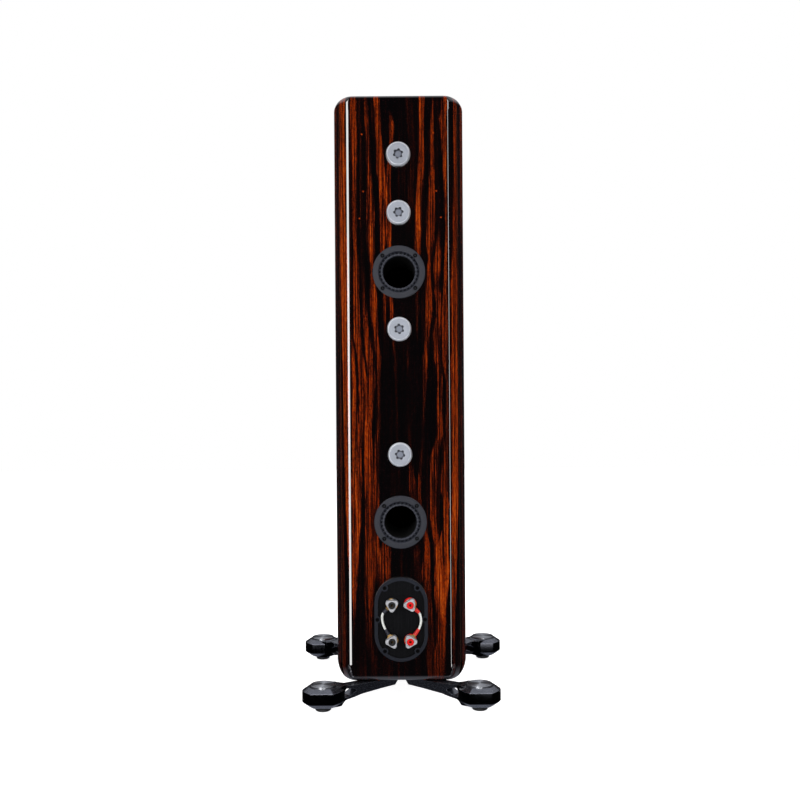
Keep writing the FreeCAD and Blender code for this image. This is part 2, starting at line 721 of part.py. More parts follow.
def build_tweeter():
    half_w, half_h = tweeter_slot_width / 2, tweeter_slot_height / 2
    proud = tweeter_proud
    plate = turned_y([(0, -tweeter_plate_thick), (tweeter_r, -tweeter_plate_thick), (tweeter_r, 0),
                      (tweeter_r - proud, proud), (0, proud)], 0, front_y, tweeter_z, 1)
    low, high = tweeter_z - half_h, tweeter_z + half_h
    slot = block(-half_w, half_w, front_y - tweeter_plate_thick - 1, front_y + proud + 1, low, high)
    ends = []
    for y, grow in ((front_y - tweeter_flare_depth, 0.0), (front_y + proud + 0.5, tweeter_flare_grow)):
        w, h = half_w + grow, half_h + grow
        corners = [(-w, -h), (w, -h), (w, h), (-w, h), (-w, -h)]
        ends.append(Part.makePolygon([V(x, y, tweeter_z + up) for x, up in corners]))
    flare = Part.makeLoft(ends, True, True)
    save("tweeter_plate", tidy_solid(cut_all(plate, [slot, flare])))

    body_front = front_y - tweeter_plate_thick
    half_bw, half_bh = tweeter_body_width / 2, tweeter_body_height / 2
    body = block(-half_bw, half_bw, body_front - tweeter_body_depth, body_front,
                 tweeter_z - half_bh, tweeter_z + half_bh)
    well = block(-half_w, half_w, body_front - tweeter_well_depth, body_front + 1, low, high)
    thread = rod_y(bolt_rod_r + bolt_thread_gap, body_front - tweeter_body_depth - 1,
                   body_front - tweeter_body_depth + bolt_bite, 0, tweeter_z)
    save("tweeter_motor", cut_all(body, [well, thread]))

    gap, edge = tweeter_grille_gap, tweeter_grille_gap + tweeter_grille_edge
    grille_y = body_front - gap - tweeter_grille_thick
    grille_front = grille_y + tweeter_grille_thick
    bars = block(-half_w + gap, half_w - gap, grille_y, grille_front, low + gap, high - gap)
    pitch = (tweeter_slot_height - 2 * edge) / tweeter_grille_slots
    slots = []
    for i in range(tweeter_grille_slots):
        foot = low + edge + (i + (1 - tweeter_slot_share) / 2) * pitch
        slots.append(block(-half_w + edge, half_w - edge, grille_y - 1, body_front,
                           foot, foot + pitch * tweeter_slot_share))
    save("tweeter_grille", cut_all(bars, slots))

    film_y = grille_y - film_gap
    step = (tweeter_slot_width - 2 * film_margin) / film_pleats
    front_line, back_line = [], []
    for i in range(film_pleats + 1):
        x = -half_w + film_margin + i * step
        fold = -film_depth if i % 2 else 0.0
        front_line.append((x, film_y + fold, low + film_margin))
        back_line.append((x, film_y + fold - film_thick, low + film_margin))
    film = polygon_face(front_line + back_line[::-1])
    save("tweeter_film", tidy_solid(film.extrude(V(0, 0, tweeter_slot_height - 2 * film_margin))))


# -------------------------------------------------------------- tension bolts
def drive_recess(z, y, turn):
    """A six-lobed socket in a bolt head whose face is at depth y."""
    reach = drive_lobe_reach - drive_lobe_r
    tool = rod_y(reach, y - 1, y + drive_depth, 0, z)
    for i in range(6):
        angle = math.radians(turn + 60 * i)
        tool = tool.fuse(rod_y(drive_lobe_r, y - 1, y + drive_depth,
                               reach * math.cos(angle), z + reach * math.sin(angle)))
    return tool


def build_bolts():
    """Four long bolts pull the drivers back against the rear panel, so the front shows no screws."""
    tweeter_back = tweeter_plate_thick + tweeter_body_depth
    backs = (motor_back(MIDRANGE), tweeter_back, motor_back(WOOFER), motor_back(WOOFER))
    seat, face = back_y - bolt_seal_thick, bolt_head_height
    bolts, seals = [], []
    for z, depth, turn in zip(bolt_places, backs, bolt_turns):
        length = front_y - depth + bolt_bite - bolt_end_gap - seat
        profile = [(0, face - bolt_face_dish), (bolt_head_r - bolt_face_width, face),
                   (bolt_head_r - bolt_head_bevel, face), (bolt_head_r, face - bolt_head_bevel),
                   (bolt_head_r, 0), (bolt_rod_r, 0), (bolt_rod_r, -length), (0, -length)]
        bolt = turned_y(profile, 0, seat, z, -1)
        bolts.append(tidy_solid(bolt.cut(drive_recess(z, seat - face, turn))))
        seals.append(ring_y(bolt_head_r - seal_inset, bolt_rod_r + bolt_hole_gap, seat, back_y, 0, z))
    save("tension_bolts", *bolts)
    save("bolt_seals", *seals)


# -------------------------------------------------------------------- ports
def build_ports():
    ports = []
    for z in port_places:
        rim, edge, tube_r = port_flange_thick, port_flange_edge, port_bore_r + port_wall
        middle_r = port_bore_r + port_mouth_grow * port_flare_share
        profile = [(port_mouth_r, rim), (port_flange_r - edge, rim), (port_flange_r, rim - edge),
                   (port_flange_r, 0), (port_body_r, 0), (port_body_r, -port_spigot),
                   (middle_r + port_wall, -port_flare / 2), (tube_r, -port_flare), (tube_r, -port_length),
                   (port_bore_r, -port_length), (port_bore_r, -port_flare), (middle_r, -port_flare / 2),
                   (port_mouth_r - port_lip, rim - port_lip)]
        port = turned_y(profile, 0, back_y, z, -1)
        head_y = back_y - port_flange_thick + screw_sink
        holes = [screw_hole(x, head_y, level) for x, level in port_screw_places(z)]
        ports.append(tidy_solid(cut_all(port, holes)))
    save("reflex_ports", *ports)


# ------------------------------------------------- screws in the back panel
def build_panel_screws():
    port_heads = back_y - port_flange_thick + screw_sink
    plate_heads = back_y - gasket_thick - plate_rim_thick + screw_sink
    screws = [screw_with_cross(x, plate_heads, z) for x, z in plate_screw_places()]
    for port_z in port_places:
        screws += [screw_with_cross(x, port_heads, z) for x, z in port_screw_places(port_z)]
    save("panel_screws", *screws)


# ----------------------------------------------------------- terminal plate
post_places = {
    "upper_black": (-post_spacing / 2, terminal_z + post_upper),
    "upper_red": (post_spacing / 2, terminal_z + post_upper),
    "lower_black": (-post_spacing / 2, terminal_z - post_lower),
    "lower_red": (post_spacing / 2, terminal_z - post_lower),
}
collar_r = stud_r + collar_width
spade_r = stud_r + spade_width
boot_start = stud_r + boot_beyond_stud
washer_r = stud_r + washer_width
cap_r = stud_r + cap_lip
cap_stem_r = socket_r + cap_stem_wall
nut_reach = stud_r + nut_lobe_reach
spade_level = collar_thick
washer_level = spade_level + spade_thick
nut_level = washer_level + washer_thick + nut_start_gap
cap_level = nut_level + nut_thread + post_travel + nut_stop_gap
cap_face = cap_level + cap_thick
nut_face = cap_face + nut_proud


def build_terminal_plate():
    plate_back = back_y - gasket_thick
    rim_y = plate_back - plate_rim_thick
    whole = stadium_y(plate_r, plate_straight, rim_y, plate_back, 0, terminal_z)
    outer = [e for e in whole.Edges if abs(e.BoundBox.YMax - rim_y) < 0.01]
    whole = whole.makeChamfer(plate_edge_bevel, outer)
    field = stadium_y(plate_r - plate_rim_width, plate_straight, rim_y - 1, field_y, 0, terminal_z)
    bosses = [rod_y(plate_screw_boss_r, rim_y - 2, plate_back, x, z) for x, z in plate_screw_places()]
    field = cut_all(field, bosses)
    holes = [screw_hole(x, rim_y + screw_sink, z) for x, z in plate_screw_places()]
    holes += [rod_y(stud_r + stud_hole_gap, field_y - 1, back_y, x, z) for x, z in post_places.values()]
    save("terminal_plate", tidy_solid(cut_all(whole, [field] + holes)))

    gasket = stadium_y(plate_r - gasket_margin, plate_straight, plate_back, back_y, 0, terminal_z)
    inner = stadium_y(plate_cutout_r, plate_straight, plate_back - 1, back_y + 1, 0, terminal_z)
    clear = [rod_y(screw_shank_r, plate_back - 1, back_y + 1, x, z) for x, z in plate_screw_places()]
    save("terminal_gasket", tidy_solid(cut_all(gasket, [inner] + clear)))


def build_posts():
    studs = []
    for x, z in post_places.values():
        stud = turned_y([(0, -stud_tail), (stud_r, -stud_tail), (stud_r, cap_level), (0, cap_level)],
                        x, field_y, z, -1)
        top_y, plate_back = field_y - cap_level, field_y + plate_field_thick
        bore = rod_y(socket_r, top_y - 1, top_y + socket_depth, x, z)
        seat = rod_y(cap_stem_r, top_y - 1, top_y + cap_stem_depth, x, z)
        studs.append(tidy_solid(cut_all(stud, [bore, seat])))
        turns = [math.radians(angle) for angle in range(0, 360, 60)]
        hexagon = polygon_face([(x + back_nut_r * math.cos(a), plate_back, z + back_nut_r * math.sin(a))
                                for a in turns])
        thread = rod_y(stud_r, field_y, field_y + stud_tail, x, z)
        studs.append(tidy_solid(hexagon.extrude(V(0, back_nut_thick, 0)).cut(thread)))
    save("post_studs", *studs)

    for colour in ("black", "red"):
        collar = [(stud_r, 0), (collar_r, 0), (collar_r, collar_thick - collar_edge),
                  (collar_r - collar_edge, collar_thick), (stud_r, collar_thick)]
        hole, stem_foot = socket_r + cap_hole_gap, cap_level - cap_stem_depth
        cap = [(hole, stem_foot), (cap_stem_r, stem_foot), (cap_stem_r, cap_level), (cap_r, cap_level),
               (cap_r, cap_face - cap_edge), (cap_r - cap_edge, cap_face), (hole + cap_mouth, cap_face),
               (hole, cap_face - cap_mouth)]
        pieces = []
        for place in ("upper_", "lower_"):
            x, z = post_places[place + colour]
            pieces += [turned_y(collar, x, field_y, z, -1), turned_y(cap, x, field_y, z, -1)]
        save("post_insulators_" + colour, *pieces)

    for name, (x, z) in post_places.items():
        washer = ring_y(washer_r, stud_r + thread_gap, field_y - washer_level - washer_thick,
                        field_y - washer_level, x, z)
        save("clamp_washer_" + name, washer)
        save("clamp_nut_" + name, clamp_nut(x, z, NUT_TURNS[name]))


def lobed_outline(y, shrink):
    """A rounded triangle: three lobe arcs joined by straight sides."""
    reach, radius = nut_reach - nut_lobe_r, nut_lobe_r - shrink
    edges, last = [], None
    for i in range(3):
        middle = math.radians(120 * i)
        centre = V(reach * math.cos(middle), y, reach * math.sin(middle))

        def spot(angle):
            return centre + V(radius * math.cos(angle), 0, radius * math.sin(angle))

        start, end = spot(middle - math.radians(60)), spot(middle + math.radians(60))
        if last is not None:
            edges.append(Part.LineSegment(last, start).toShape())
        else:
            first = start
        edges.append(Part.Arc(start, spot(middle), end).toShape())
        last = end
    edges.append(Part.LineSegment(last, first).toShape())
    return Part.Wire(edges)


def clamp_nut(x, z, turn):
    """Three-lobed thumb nut with a counterbore that clears the socket's cap."""
    length = nut_face - nut_level
    body = tidy_solid(Part.Face(lobed_outline(0, 0)).extrude(V(0, length, 0)))
    ends = [e for e in body.Edges if e.BoundBox.YLength < 0.01]
    body = body.makeChamfer(nut_bevel, ends)
    recess = Part.Face(lobed_outline(-1, nut_recess_margin)).extrude(V(0, 1 + nut_recess_depth, 0))
    recess = recess.cut(rod_y(cap_r + cap_gap + nut_collar, -2, nut_recess_depth + 1, 0, 0))
    well = rod_y(cap_r + cap_gap, -1, length - nut_thread, 0, 0)
    thread = rod_y(stud_r + thread_gap, -1, length + 1, 0, 0)
    nut = cut_all(body, [recess, well, thread])
    nut.rotate(V(0, 0, 0), V(0, 1, 0), -turn)
    nut.translate(V(x, field_y - nut_face, z))
    return tidy_solid(nut)


# ------------------------------------------------------------- jumper links
def tail_point(place, angle, reach):
    x, z = post_places[place]
    return x + reach * math.cos(math.radians(angle)), z + reach * math.sin(math.radians(angle))


def link_spade(place, angle):
    """A forked tag round the stud, open away from its tail."""
    x, z = post_places[place]
    y0, y1 = field_y - spade_level - spade_thick, field_y - spade_level
    slot_r = stud_r + spade_gap
    tag = rod_y(spade_r, y0, y1, 0, 0)
    tag = tag.fuse(block(0, boot_start, y0, y1, -spade_tail_half, spade_tail_half))
    slot = rod_y(slot_r, y0 - 1, y1 + 1, 0, 0).fuse(block(-spade_r - 1, 0, y0 - 1, y1 + 1, -slot_r, slot_r))
    tag = tag.cut(slot)
    tag.rotate(V(0, 0, 0), V(0, 1, 0), -angle)
    tag.translate(V(x, 0, z))
    return tidy_solid(tag)


def link_boot(place, angle, end):
    x, z = tail_point(place, angle, boot_start)
    direction = V(math.cos(math.radians(angle)), 0, math.sin(math.radians(angle)))
    return Part.makeCone(boot_r, boot_end_r, end - boot_start, V(x, field_y - link_height, z), direction)


def link_cable(colour):
    """Two tangent arcs from boot to boot: the radii follow from the end points and headings."""
    (top_angle, top_end), (low_angle, low_end) = LINK_ENDS[colour]
    ax, az = tail_point("upper_" + colour, top_angle, top_end)
    bx, bz = tail_point("lower_" + colour, low_angle, low_end)
    h0, h1, h2 = (math.radians(h) for h in LINK_HEADINGS[colour])
    side = 1 if h2 > h0 else -1
    c0, s0 = side * (math.sin(h1) - math.sin(h0)), side * (math.cos(h0) - math.cos(h1))
    c1, s1 = side * (math.sin(h2) - math.sin(h1)), side * (math.cos(h1) - math.cos(h2))
    gap = c0 * s1 - c1 * s0
    r0 = ((bx - ax) * s1 - (bz - az) * c1) / gap
    r1 = ((bz - az) * c0 - (bx - ax) * s0) / gap
    y = field_y - link_height

    def spot(start, radius, first, angle):
        return V(start.x + side * radius * (math.sin(angle) - math.sin(first)), y,
                 start.z + side * radius * (math.cos(first) - math.cos(angle)))

    a, b = V(ax, y, az), V(bx, y, bz)
    knee = spot(a, r0, h0, h1)
    path = Part.Wire([Part.Arc(a, spot(a, r0, h0, (h0 + h1) / 2), knee).toShape(),
                      Part.Arc(knee, spot(knee, r1, h1, (h1 + h2) / 2), b).toShape()])
    ring = Part.Wire([Part.makeCircle(link_r, a, V(math.cos(h0), 0, math.sin(h0)))])
    tube = path.makePipeShell([ring], True, False)
    length = r0 * abs(h1 - h0) + r1 * abs(h2 - h1)
    print("link %s: arc radii %.1f and %.1f mm, length %.1f mm, volume over section times length %.4f"
          % (colour, r0, r1, length, tube.Volume / (math.pi * link_r ** 2 * length)))
    return tidy_solid(tube)


def build_links():
    spades = []
    for colour in ("black", "red"):
        (top_angle, top_end), (low_angle, low_end) = LINK_ENDS[colour]
        upper, lower = "upper_" + colour, "lower_" + colour
        spades += [link_spade(upper, top_angle), link_spade(lower, low_angle)]
        boots = link_boot(upper, top_angle, top_end), link_boot(lower, low_angle, low_end)
        save("link_boots_" + colour, *boots)
    save("link_spades", *spades)
    save("link_cables", link_cable("black"), link_cable("red"))


# ---------------------------------------------------------------- crossover
board_y = (inner_back + inner_front) / 2
board_z = inner_floor + standoff_height


def standoff_places():
    across, along = board_width / 2 - standoff_inset, board_depth / 2 - standoff_inset
    return [(sx * across, board_y + sy * along) for sx in (-1, 1) for sy in (-1, 1)]


def build_crossover():
    board = block(-board_width / 2, board_width / 2, board_y - board_depth / 2, board_y + board_depth / 2,
                  board_z, board_z + board_thick)
    holes = [Part.makeCylinder(screw_shank_r, 20, V(x, y, board_z - 5)) for x, y in standoff_places()]
    save("crossover_board", cut_all(board, holes))
    deck = board_z + board_thick

    supports = []
    for x, y in standoff_places():
        post = Part.makeCylinder(standoff_r, standoff_height, V(x, y, inner_floor))
        thread = Part.makeCylinder(screw_shank_r, standoff_height + 2, V(x, y, inner_floor - 1))
        supports.append(post.cut(thread))
        low, head = inner_floor - fixing_depth, deck + fixing_head
        supports.append(turned_z([(0, low), (screw_shank_r, low), (screw_shank_r, deck),
                                  (screw_head_r, deck), (screw_head_r, head), (0, head)], x, y))
    save("board_fixings", *supports)

    coils = []
    for x, y, radius, height in COILS:
        top, wall, wound_r = deck + height, bobbin_wall, radius - bobbin_wall
        bobbin = [(coil_core_r, deck), (radius, deck), (radius, deck + wall), (wound_r, deck + wall),
                  (wound_r, top - wall), (radius, top - wall), (radius, top), (coil_core_r, top)]
        coils.append(turned_z(bobbin, x, board_y + y))
    save("crossover_coils", *coils)

    capacitors = []
    for x, y, radius, length in CAPACITORS:
        end = V(x - length / 2, board_y + y, deck + radius)
        capacitors.append(Part.makeCylinder(radius, length, end, V(1, 0, 0)))
    save("crossover_capacitors", *capacitors)

    resistors = []
    for x, y, length in RESISTORS:
        bar = Part.makeBox(resistor_side, length, resistor_side)
        bar.translate(V(x - resistor_side / 2, board_y + y - length / 2, deck))
        resistors.append(bar)
    save("crossover_resistors", *resistors)


# --------------------------------------------------------------------- feet
# An outrigger is built about its foot's axis with +X running inwards and +Y
# away from the nearer end of the cabinet, then mirrored into its corner.
foot_places = {
    "rear_left": (-rear_foot_x, rear_foot_y),
    "rear_right": (rear_foot_x, rear_foot_y),
    "front_left": (-front_foot_x, front_foot_y),
    "front_right": (front_foot_x, front_foot_y),
}


def arm_length(foot_x):
    return (foot_x - arm_end_x) / math.cos(math.radians(arm_angle))


def foot_point(name, along, beside=0.0):
    """A place on an outrigger, from its foot's axis along and beside its arm."""
    x, y = foot_places[name]
    angle = math.radians(arm_angle)
    inward = along * math.cos(angle) - beside * math.sin(angle)
    forward = along * math.sin(angle) + beside * math.cos(angle)
    return x - math.copysign(inward, x), y - math.copysign(forward, y)


def arm_screws():
    places = []
    for name, (x, y) in foot_places.items():
        for along in (arm_screw_places[0], arm_length(abs(x)) - arm_screw_places[1]):
            places.append(foot_point(name, along))
    return places


def rim_points(z):
    """The tip's faceted rim at a height."""
    quarter = list(TIP_OUTLINE)
    second = [(-x, y) for x, y in reversed(quarter)]
    half = quarter + second
    return [(x, y, z) for x, y in half + [(-x, -y) for x, y in half]]


def ring_points(radius, z):
    """The same number of corners on a circle, each on the line from its rim corner to the axis."""
    points = []
    for x, y, _ in rim_points(z):
        length = math.hypot(x, y)
        points.append((radius * x / length, radius * y / length, z))
    return points


def frustum(low, high):
    wires = [Part.makePolygon([V(*p) for p in points] + [V(*points[0])]) for points in (low, high)]
    return tidy_solid(Part.makeLoft(wires, True, True))


def outrigger(foot_x):
    band = tidy_solid(polygon_face(rim_points(tip_band_low)).extrude(V(0, 0, tip_band_high - tip_band_low)))
    tip = band.fuse([frustum(ring_points(tip_under_r, tip_under), rim_points(tip_band_low)),
                     frustum(rim_points(tip_band_high), ring_points(tip_top_r, tip_top))])

    length, reach = arm_length(foot_x), 2 * arm_half_width_tip
    wide, narrow, (neck_start, neck_end) = arm_half_width_tip, arm_half_width, arm_neck
    under = list(ARM_UNDER) + [(length - arm_end_chamfer, arm_end_under), (length, floor_gap)]
    profile = [(s, -reach, z) for s, z in list(ARM_TOP) + under[::-1] + [(0.0, ARM_UNDER[0][1])]]
    side_view = polygon_face(profile).extrude(V(0, 2 * reach, 0))
    plan = polygon_face([(0, -wide, 0), (neck_start, -wide, 0), (neck_end, -narrow, 0),
                         (length, -narrow, 0), (length, narrow, 0), (neck_end, narrow, 0),
                         (neck_start, wide, 0), (0, wide, 0)])
    arm = tidy_solid(side_view).common(plan.extrude(V(0, 0, tip_top)))
    window = tidy_solid(polygon_face([(s, -reach, z) for s, z in ARM_WINDOW]).extrude(V(0, 2 * reach, 0)))
    across = [e for e in window.Edges if e.BoundBox.YLength > reach]
    arm = arm.cut(window.makeFillet(arm_window_round, across))
    for s in (arm_screw_places[0], length - arm_screw_places[1]):
        arm = arm.cut(Part.makeCylinder(arm_screw_r + arm_screw_gap, tip_top, V(s, 0, 0)))
        arm = arm.cut(Part.makeCylinder(arm_screw_head_r + arm_screw_gap, arm_seat, V(s, 0, 0)))
    arm.rotate(V(0, 0, 0), V(0, 0, 1), arm_angle)

    casting = tip.fuse(arm)
    well = Part.makeCylinder(knob_r + knob_gap, tip_top, V(0, 0, knob_well_floor))
    bore = Part.makeCylinder(stem_r + stem_gap, tip_top)
    return tidy_solid(cut_all(casting, [well, bore]).removeSplitter())


def build_feet():
    castings = []
    for name, (x, y) in foot_places.items():
        casting = outrigger(abs(x))
        if x > 0:
            casting = mirror_x(casting)
        if y > 0:
            casting = mirror_y(casting)
        casting.translate(V(x, y, 0))
        castings.append(tidy_solid(casting))
    save("outriggers", *castings)

    screws = []
    head, end = arm_seat - arm_screw_head_height, floor_gap + arm_screw_bite
    turns = [math.radians(angle) for angle in range(0, 360, 60)]
    for x, y in arm_screws():
        screw = turned_z([(0, head), (arm_screw_head_r, head), (arm_screw_head_r, arm_seat),
                          (arm_screw_r, arm_seat), (arm_screw_r, end), (0, end)], x, y)
        hexagon = polygon_face([(x + arm_screw_hex_r * math.cos(a), y + arm_screw_hex_r * math.sin(a), 0)
                                for a in turns])
        screws.append(screw.cut(hexagon.extrude(V(0, 0, head + arm_screw_hex_depth))))
    save("outrigger_screws", *screws)

    socket_r_pad, stem_end = stem_r + stem_gap, pad_socket_floor + stem_end_gap
    groove_r, groove_floor = knob_r - knob_groove_inset, knob_top - knob_groove
    for name, (x, y) in foot_places.items():
        pad = [(0, 0), (pad_r - pad_bevel, 0), (pad_r, pad_bevel), (pad_r, pad_thick - pad_edge),
               (pad_r - pad_edge, pad_thick), (socket_r_pad, pad_thick), (socket_r_pad, pad_socket_floor),
               (0, pad_socket_floor)]
        save("foot_pad_" + name, turned_z(pad, x, y))
        knob = [(0, stem_end), (stem_r, stem_end), (stem_r, knob_under), (knob_r, knob_under),
                (knob_r, knob_top - knob_bevel), (knob_r - knob_bevel, knob_top),
                (groove_r + knob_groove, knob_top), (groove_r + knob_groove, groove_floor),
                (groove_r, groove_floor), (groove_r, knob_top), (0, knob_top)]
        save("foot_knob_" + name, turned_z(knob, x, y))


# --------------------------------------------------------------- everything
os.makedirs("parts", exist_ok=True)
build_cabinet()
build_braces()
build_wadding()
build_drivers()
build_tweeter()
build_bolts()
build_ports()
build_terminal_plate()
build_panel_screws()
build_posts()
build_links()
build_crossover()
build_feet()
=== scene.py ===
import json
import math

import bmesh
import bpy
from mathutils import Matrix, Vector


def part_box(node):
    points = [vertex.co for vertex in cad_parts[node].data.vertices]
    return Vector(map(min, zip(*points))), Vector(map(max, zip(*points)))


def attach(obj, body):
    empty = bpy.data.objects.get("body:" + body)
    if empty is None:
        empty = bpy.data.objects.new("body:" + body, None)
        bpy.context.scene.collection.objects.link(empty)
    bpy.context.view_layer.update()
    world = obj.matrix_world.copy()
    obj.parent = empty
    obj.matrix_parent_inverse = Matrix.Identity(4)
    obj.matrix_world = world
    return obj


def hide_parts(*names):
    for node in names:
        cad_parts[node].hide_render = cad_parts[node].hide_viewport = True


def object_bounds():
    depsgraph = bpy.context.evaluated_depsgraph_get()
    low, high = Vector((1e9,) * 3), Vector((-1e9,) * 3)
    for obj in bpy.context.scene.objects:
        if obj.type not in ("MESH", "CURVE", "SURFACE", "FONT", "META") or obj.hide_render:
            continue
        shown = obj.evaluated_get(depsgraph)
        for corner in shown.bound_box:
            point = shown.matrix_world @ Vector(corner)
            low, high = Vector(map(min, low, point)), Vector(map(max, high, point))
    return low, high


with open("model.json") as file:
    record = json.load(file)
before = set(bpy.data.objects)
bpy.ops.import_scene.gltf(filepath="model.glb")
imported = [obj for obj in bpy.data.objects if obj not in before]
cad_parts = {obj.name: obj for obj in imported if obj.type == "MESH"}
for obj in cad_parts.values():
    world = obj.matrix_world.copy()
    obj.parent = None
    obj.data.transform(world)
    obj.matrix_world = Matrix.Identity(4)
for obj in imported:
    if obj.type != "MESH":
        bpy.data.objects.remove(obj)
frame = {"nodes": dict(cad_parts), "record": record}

# A slim floorstanding loudspeaker seen from behind: a high-gloss ebony cabinet on four
# outrigger feet. Metres throughout, +Z up, -Y the back with the ports and terminals.

cad_low, cad_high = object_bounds()
nodes = frame["nodes"]
mm = 0.001
back_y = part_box("back_panel")[0].y
front_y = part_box("front_baffle")[1].y
foot_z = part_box("base_panel")[0].z
top_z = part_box("top_panel")[1].z

# ------------------------------------------------------------------- camera
CAMERA_AT = Vector((0.0167, back_y - 1.8364, 0.5491))
CAMERA_LENS = 45.43
CAMERA_LEAN = math.radians(0.39)
CAMERA_SHIFT = -0.01115


def make_camera():
    data = bpy.data.cameras.new("camera")
    data.lens = CAMERA_LENS
    data.sensor_width = 36.0
    data.shift_x = CAMERA_SHIFT
    camera = bpy.data.objects.new("camera", data)
    camera.location = CAMERA_AT
    camera.rotation_euler = (math.pi / 2, CAMERA_LEAN, 0.0)
    bpy.context.scene.collection.objects.link(camera)
    bpy.context.scene.camera = camera


# -------------------------------------------------------------- node helpers
class Net:
    """Builds one shader tree, a node at a time."""

    def __init__(self, tree):
        self.tree = tree
        tree.nodes.clear()

    def put(self, socket, value):
        if isinstance(value, bpy.types.NodeSocket):
            self.tree.links.new(value, socket)
        elif value is not None:
            socket.default_value = value

    def add(self, kind, inputs=None, **settings):
        node = self.tree.nodes.new("ShaderNode" + kind)
        for name, value in settings.items():
            setattr(node, name, value)
        for name, value in (inputs or {}).items():
            self.put(node.inputs[name], value)
        return node

    def math(self, operation, *values, clamp=False):
        node = self.add("Math", operation=operation, use_clamp=clamp)
        for socket, value in zip(node.inputs, values):
            self.put(socket, value)
        return node.outputs[0]

    def vector(self, operation, *values):
        node = self.add("VectorMath", operation=operation)
        for socket, value in zip(node.inputs, values):
            self.put(socket, value)
        return node.outputs["Value" if operation in ("LENGTH", "DOT_PRODUCT") else "Vector"]

    def split(self, vector):
        return self.add("SeparateXYZ", {"Vector": vector}).outputs

    def join(self, x=0.0, y=0.0, z=0.0):
        return self.add("CombineXYZ", {"X": x, "Y": y, "Z": z}).outputs[0]

    def object_point(self):
        return self.add("TexCoord").outputs["Object"]

    def noise(self, vector, scale=1.0, detail=2.0, roughness=0.5, distortion=0.0):
        inputs = {"Vector": vector, "Scale": scale, "Detail": detail, "Roughness": roughness,
                  "Distortion": distortion}
        return self.add("TexNoise", inputs).outputs["Fac"]

    def span(self, value, low, high, to_low=0.0, to_high=1.0):
        """Value carried from one range to another, held at the ends."""
        inputs = {"Value": value, "From Min": low, "From Max": high, "To Min": to_low, "To Max": to_high}
        return self.add("MapRange", inputs, clamp=True).outputs["Result"]

    def ramp(self, value, stops):
        """Colours or greys at places from 0 to 1."""
        node = self.add("ValToRGB", {"Fac": value})
        bar = node.color_ramp.elements
        while len(bar) < len(stops):
            bar.new(0.5)
        for element, (place, colour) in zip(bar, stops):
            element.position = place
            grey = isinstance(colour, float)
            element.color = (colour, colour, colour, 1.0) if grey else (*colour, 1.0)
        return node.outputs["Color"]

    def mix(self, share, first, second):
        node = self.add("Mix", data_type="RGBA")
        self.put(node.inputs[0], share)
        for socket, value in ((node.inputs[6], first), (node.inputs[7], second)):
            self.put(socket, (*value, 1.0) if isinstance(value, tuple) else value)
        return node.outputs[2]

    def bump(self, height, strength, distance, normal=None):
        inputs = {"Height": height, "Strength": strength, "Distance": distance}
        if normal is not None:
            inputs["Normal"] = normal
        return self.add("Bump", inputs).outputs["Normal"]

    def add_io(self):
        """The input and output nodes of a group's own tree."""
        source = self.tree.nodes.new("NodeGroupInput")
        sink = self.tree.nodes.new("NodeGroupOutput")
        return source.outputs, sink.inputs

    def group(self, tree, **inputs):
        node = self.add("Group", node_tree=tree)
        for name, value in inputs.items():
            self.put(node.inputs[name.replace("_", " ")], value)
        return node.outputs


def new_group(name, inputs, outputs):
    """An empty node group with named inputs (name, kind, value) and outputs (name, kind)."""
    tree = bpy.data.node_groups.new(name, "ShaderNodeTree")
    for label, kind, value in inputs:
        socket = tree.interface.new_socket(label, in_out="INPUT", socket_type="NodeSocket" + kind)
        if value is not None:
            socket.default_value = value
    for label, kind in outputs:
        tree.interface.new_socket(label, in_out="OUTPUT", socket_type="NodeSocket" + kind)
    net = Net(tree)
    return net, tree, net.add_io()


def finish_of(name, **constants):
    """A material with a Principled shader, and the net that feeds it."""
    material = bpy.data.materials.new(name)
    material.use_nodes = True
    net = Net(material.node_tree)
    shader = net.add("BsdfPrincipled")
    for label, value in constants.items():
        socket = shader.inputs[label.replace("_", " ")]
        socket.default_value = (*value, 1.0) if isinstance(value, tuple) and len(value) == 3 else value
    surface = net.add("OutputMaterial")
    net.put(surface.inputs["Surface"], shader.outputs[0])
    return material, net, shader.inputs


# ------------------------------------------------------------ shared effects
def make_lathe_marks():
    """Fine rings left by a lathe about the local Z of the point given."""
    net, tree, (given, out) = new_group(
        "lathe_marks",
        [("Point", "Vector", None), ("Pitch", "Float", 900.0), ("Depth", "Float", 0.2)],
        [("Normal", "Vector"), ("Rings", "Float")])
    x, y, _ = net.split(given["Point"])
    radius = net.math("SQRT", net.math("ADD", net.math("MULTIPLY", x, x), net.math("MULTIPLY", y, y)))
    rings = net.noise(net.join(net.math("MULTIPLY", radius, given["Pitch"])), 1.0, 2.0, 0.6)
    net.put(out["Normal"], net.bump(rings, given["Depth"], 0.0002))
    net.put(out["Rings"], rings)
    return tree


def make_brushed_lines():
    """Straight brush lines: the point given is already squeezed along the brush."""
    net, tree, (given, out) = new_group(
        "brushed_lines",
        [("Point", "Vector", None), ("Depth", "Float", 0.15)],
        [("Normal", "Vector"), ("Lines", "Float")])
    fine = net.noise(given["Point"], 1.0, 4.0, 0.65)
    wide = net.noise(given["Point"], 0.23, 2.0, 0.5)
    lines = net.math("ADD", net.math("MULTIPLY", fine, 0.7), net.math("MULTIPLY", wide, 0.3))
    net.put(out["Normal"], net.bump(lines, given["Depth"], 0.0001))
    net.put(out["Lines"], lines)
    return tree


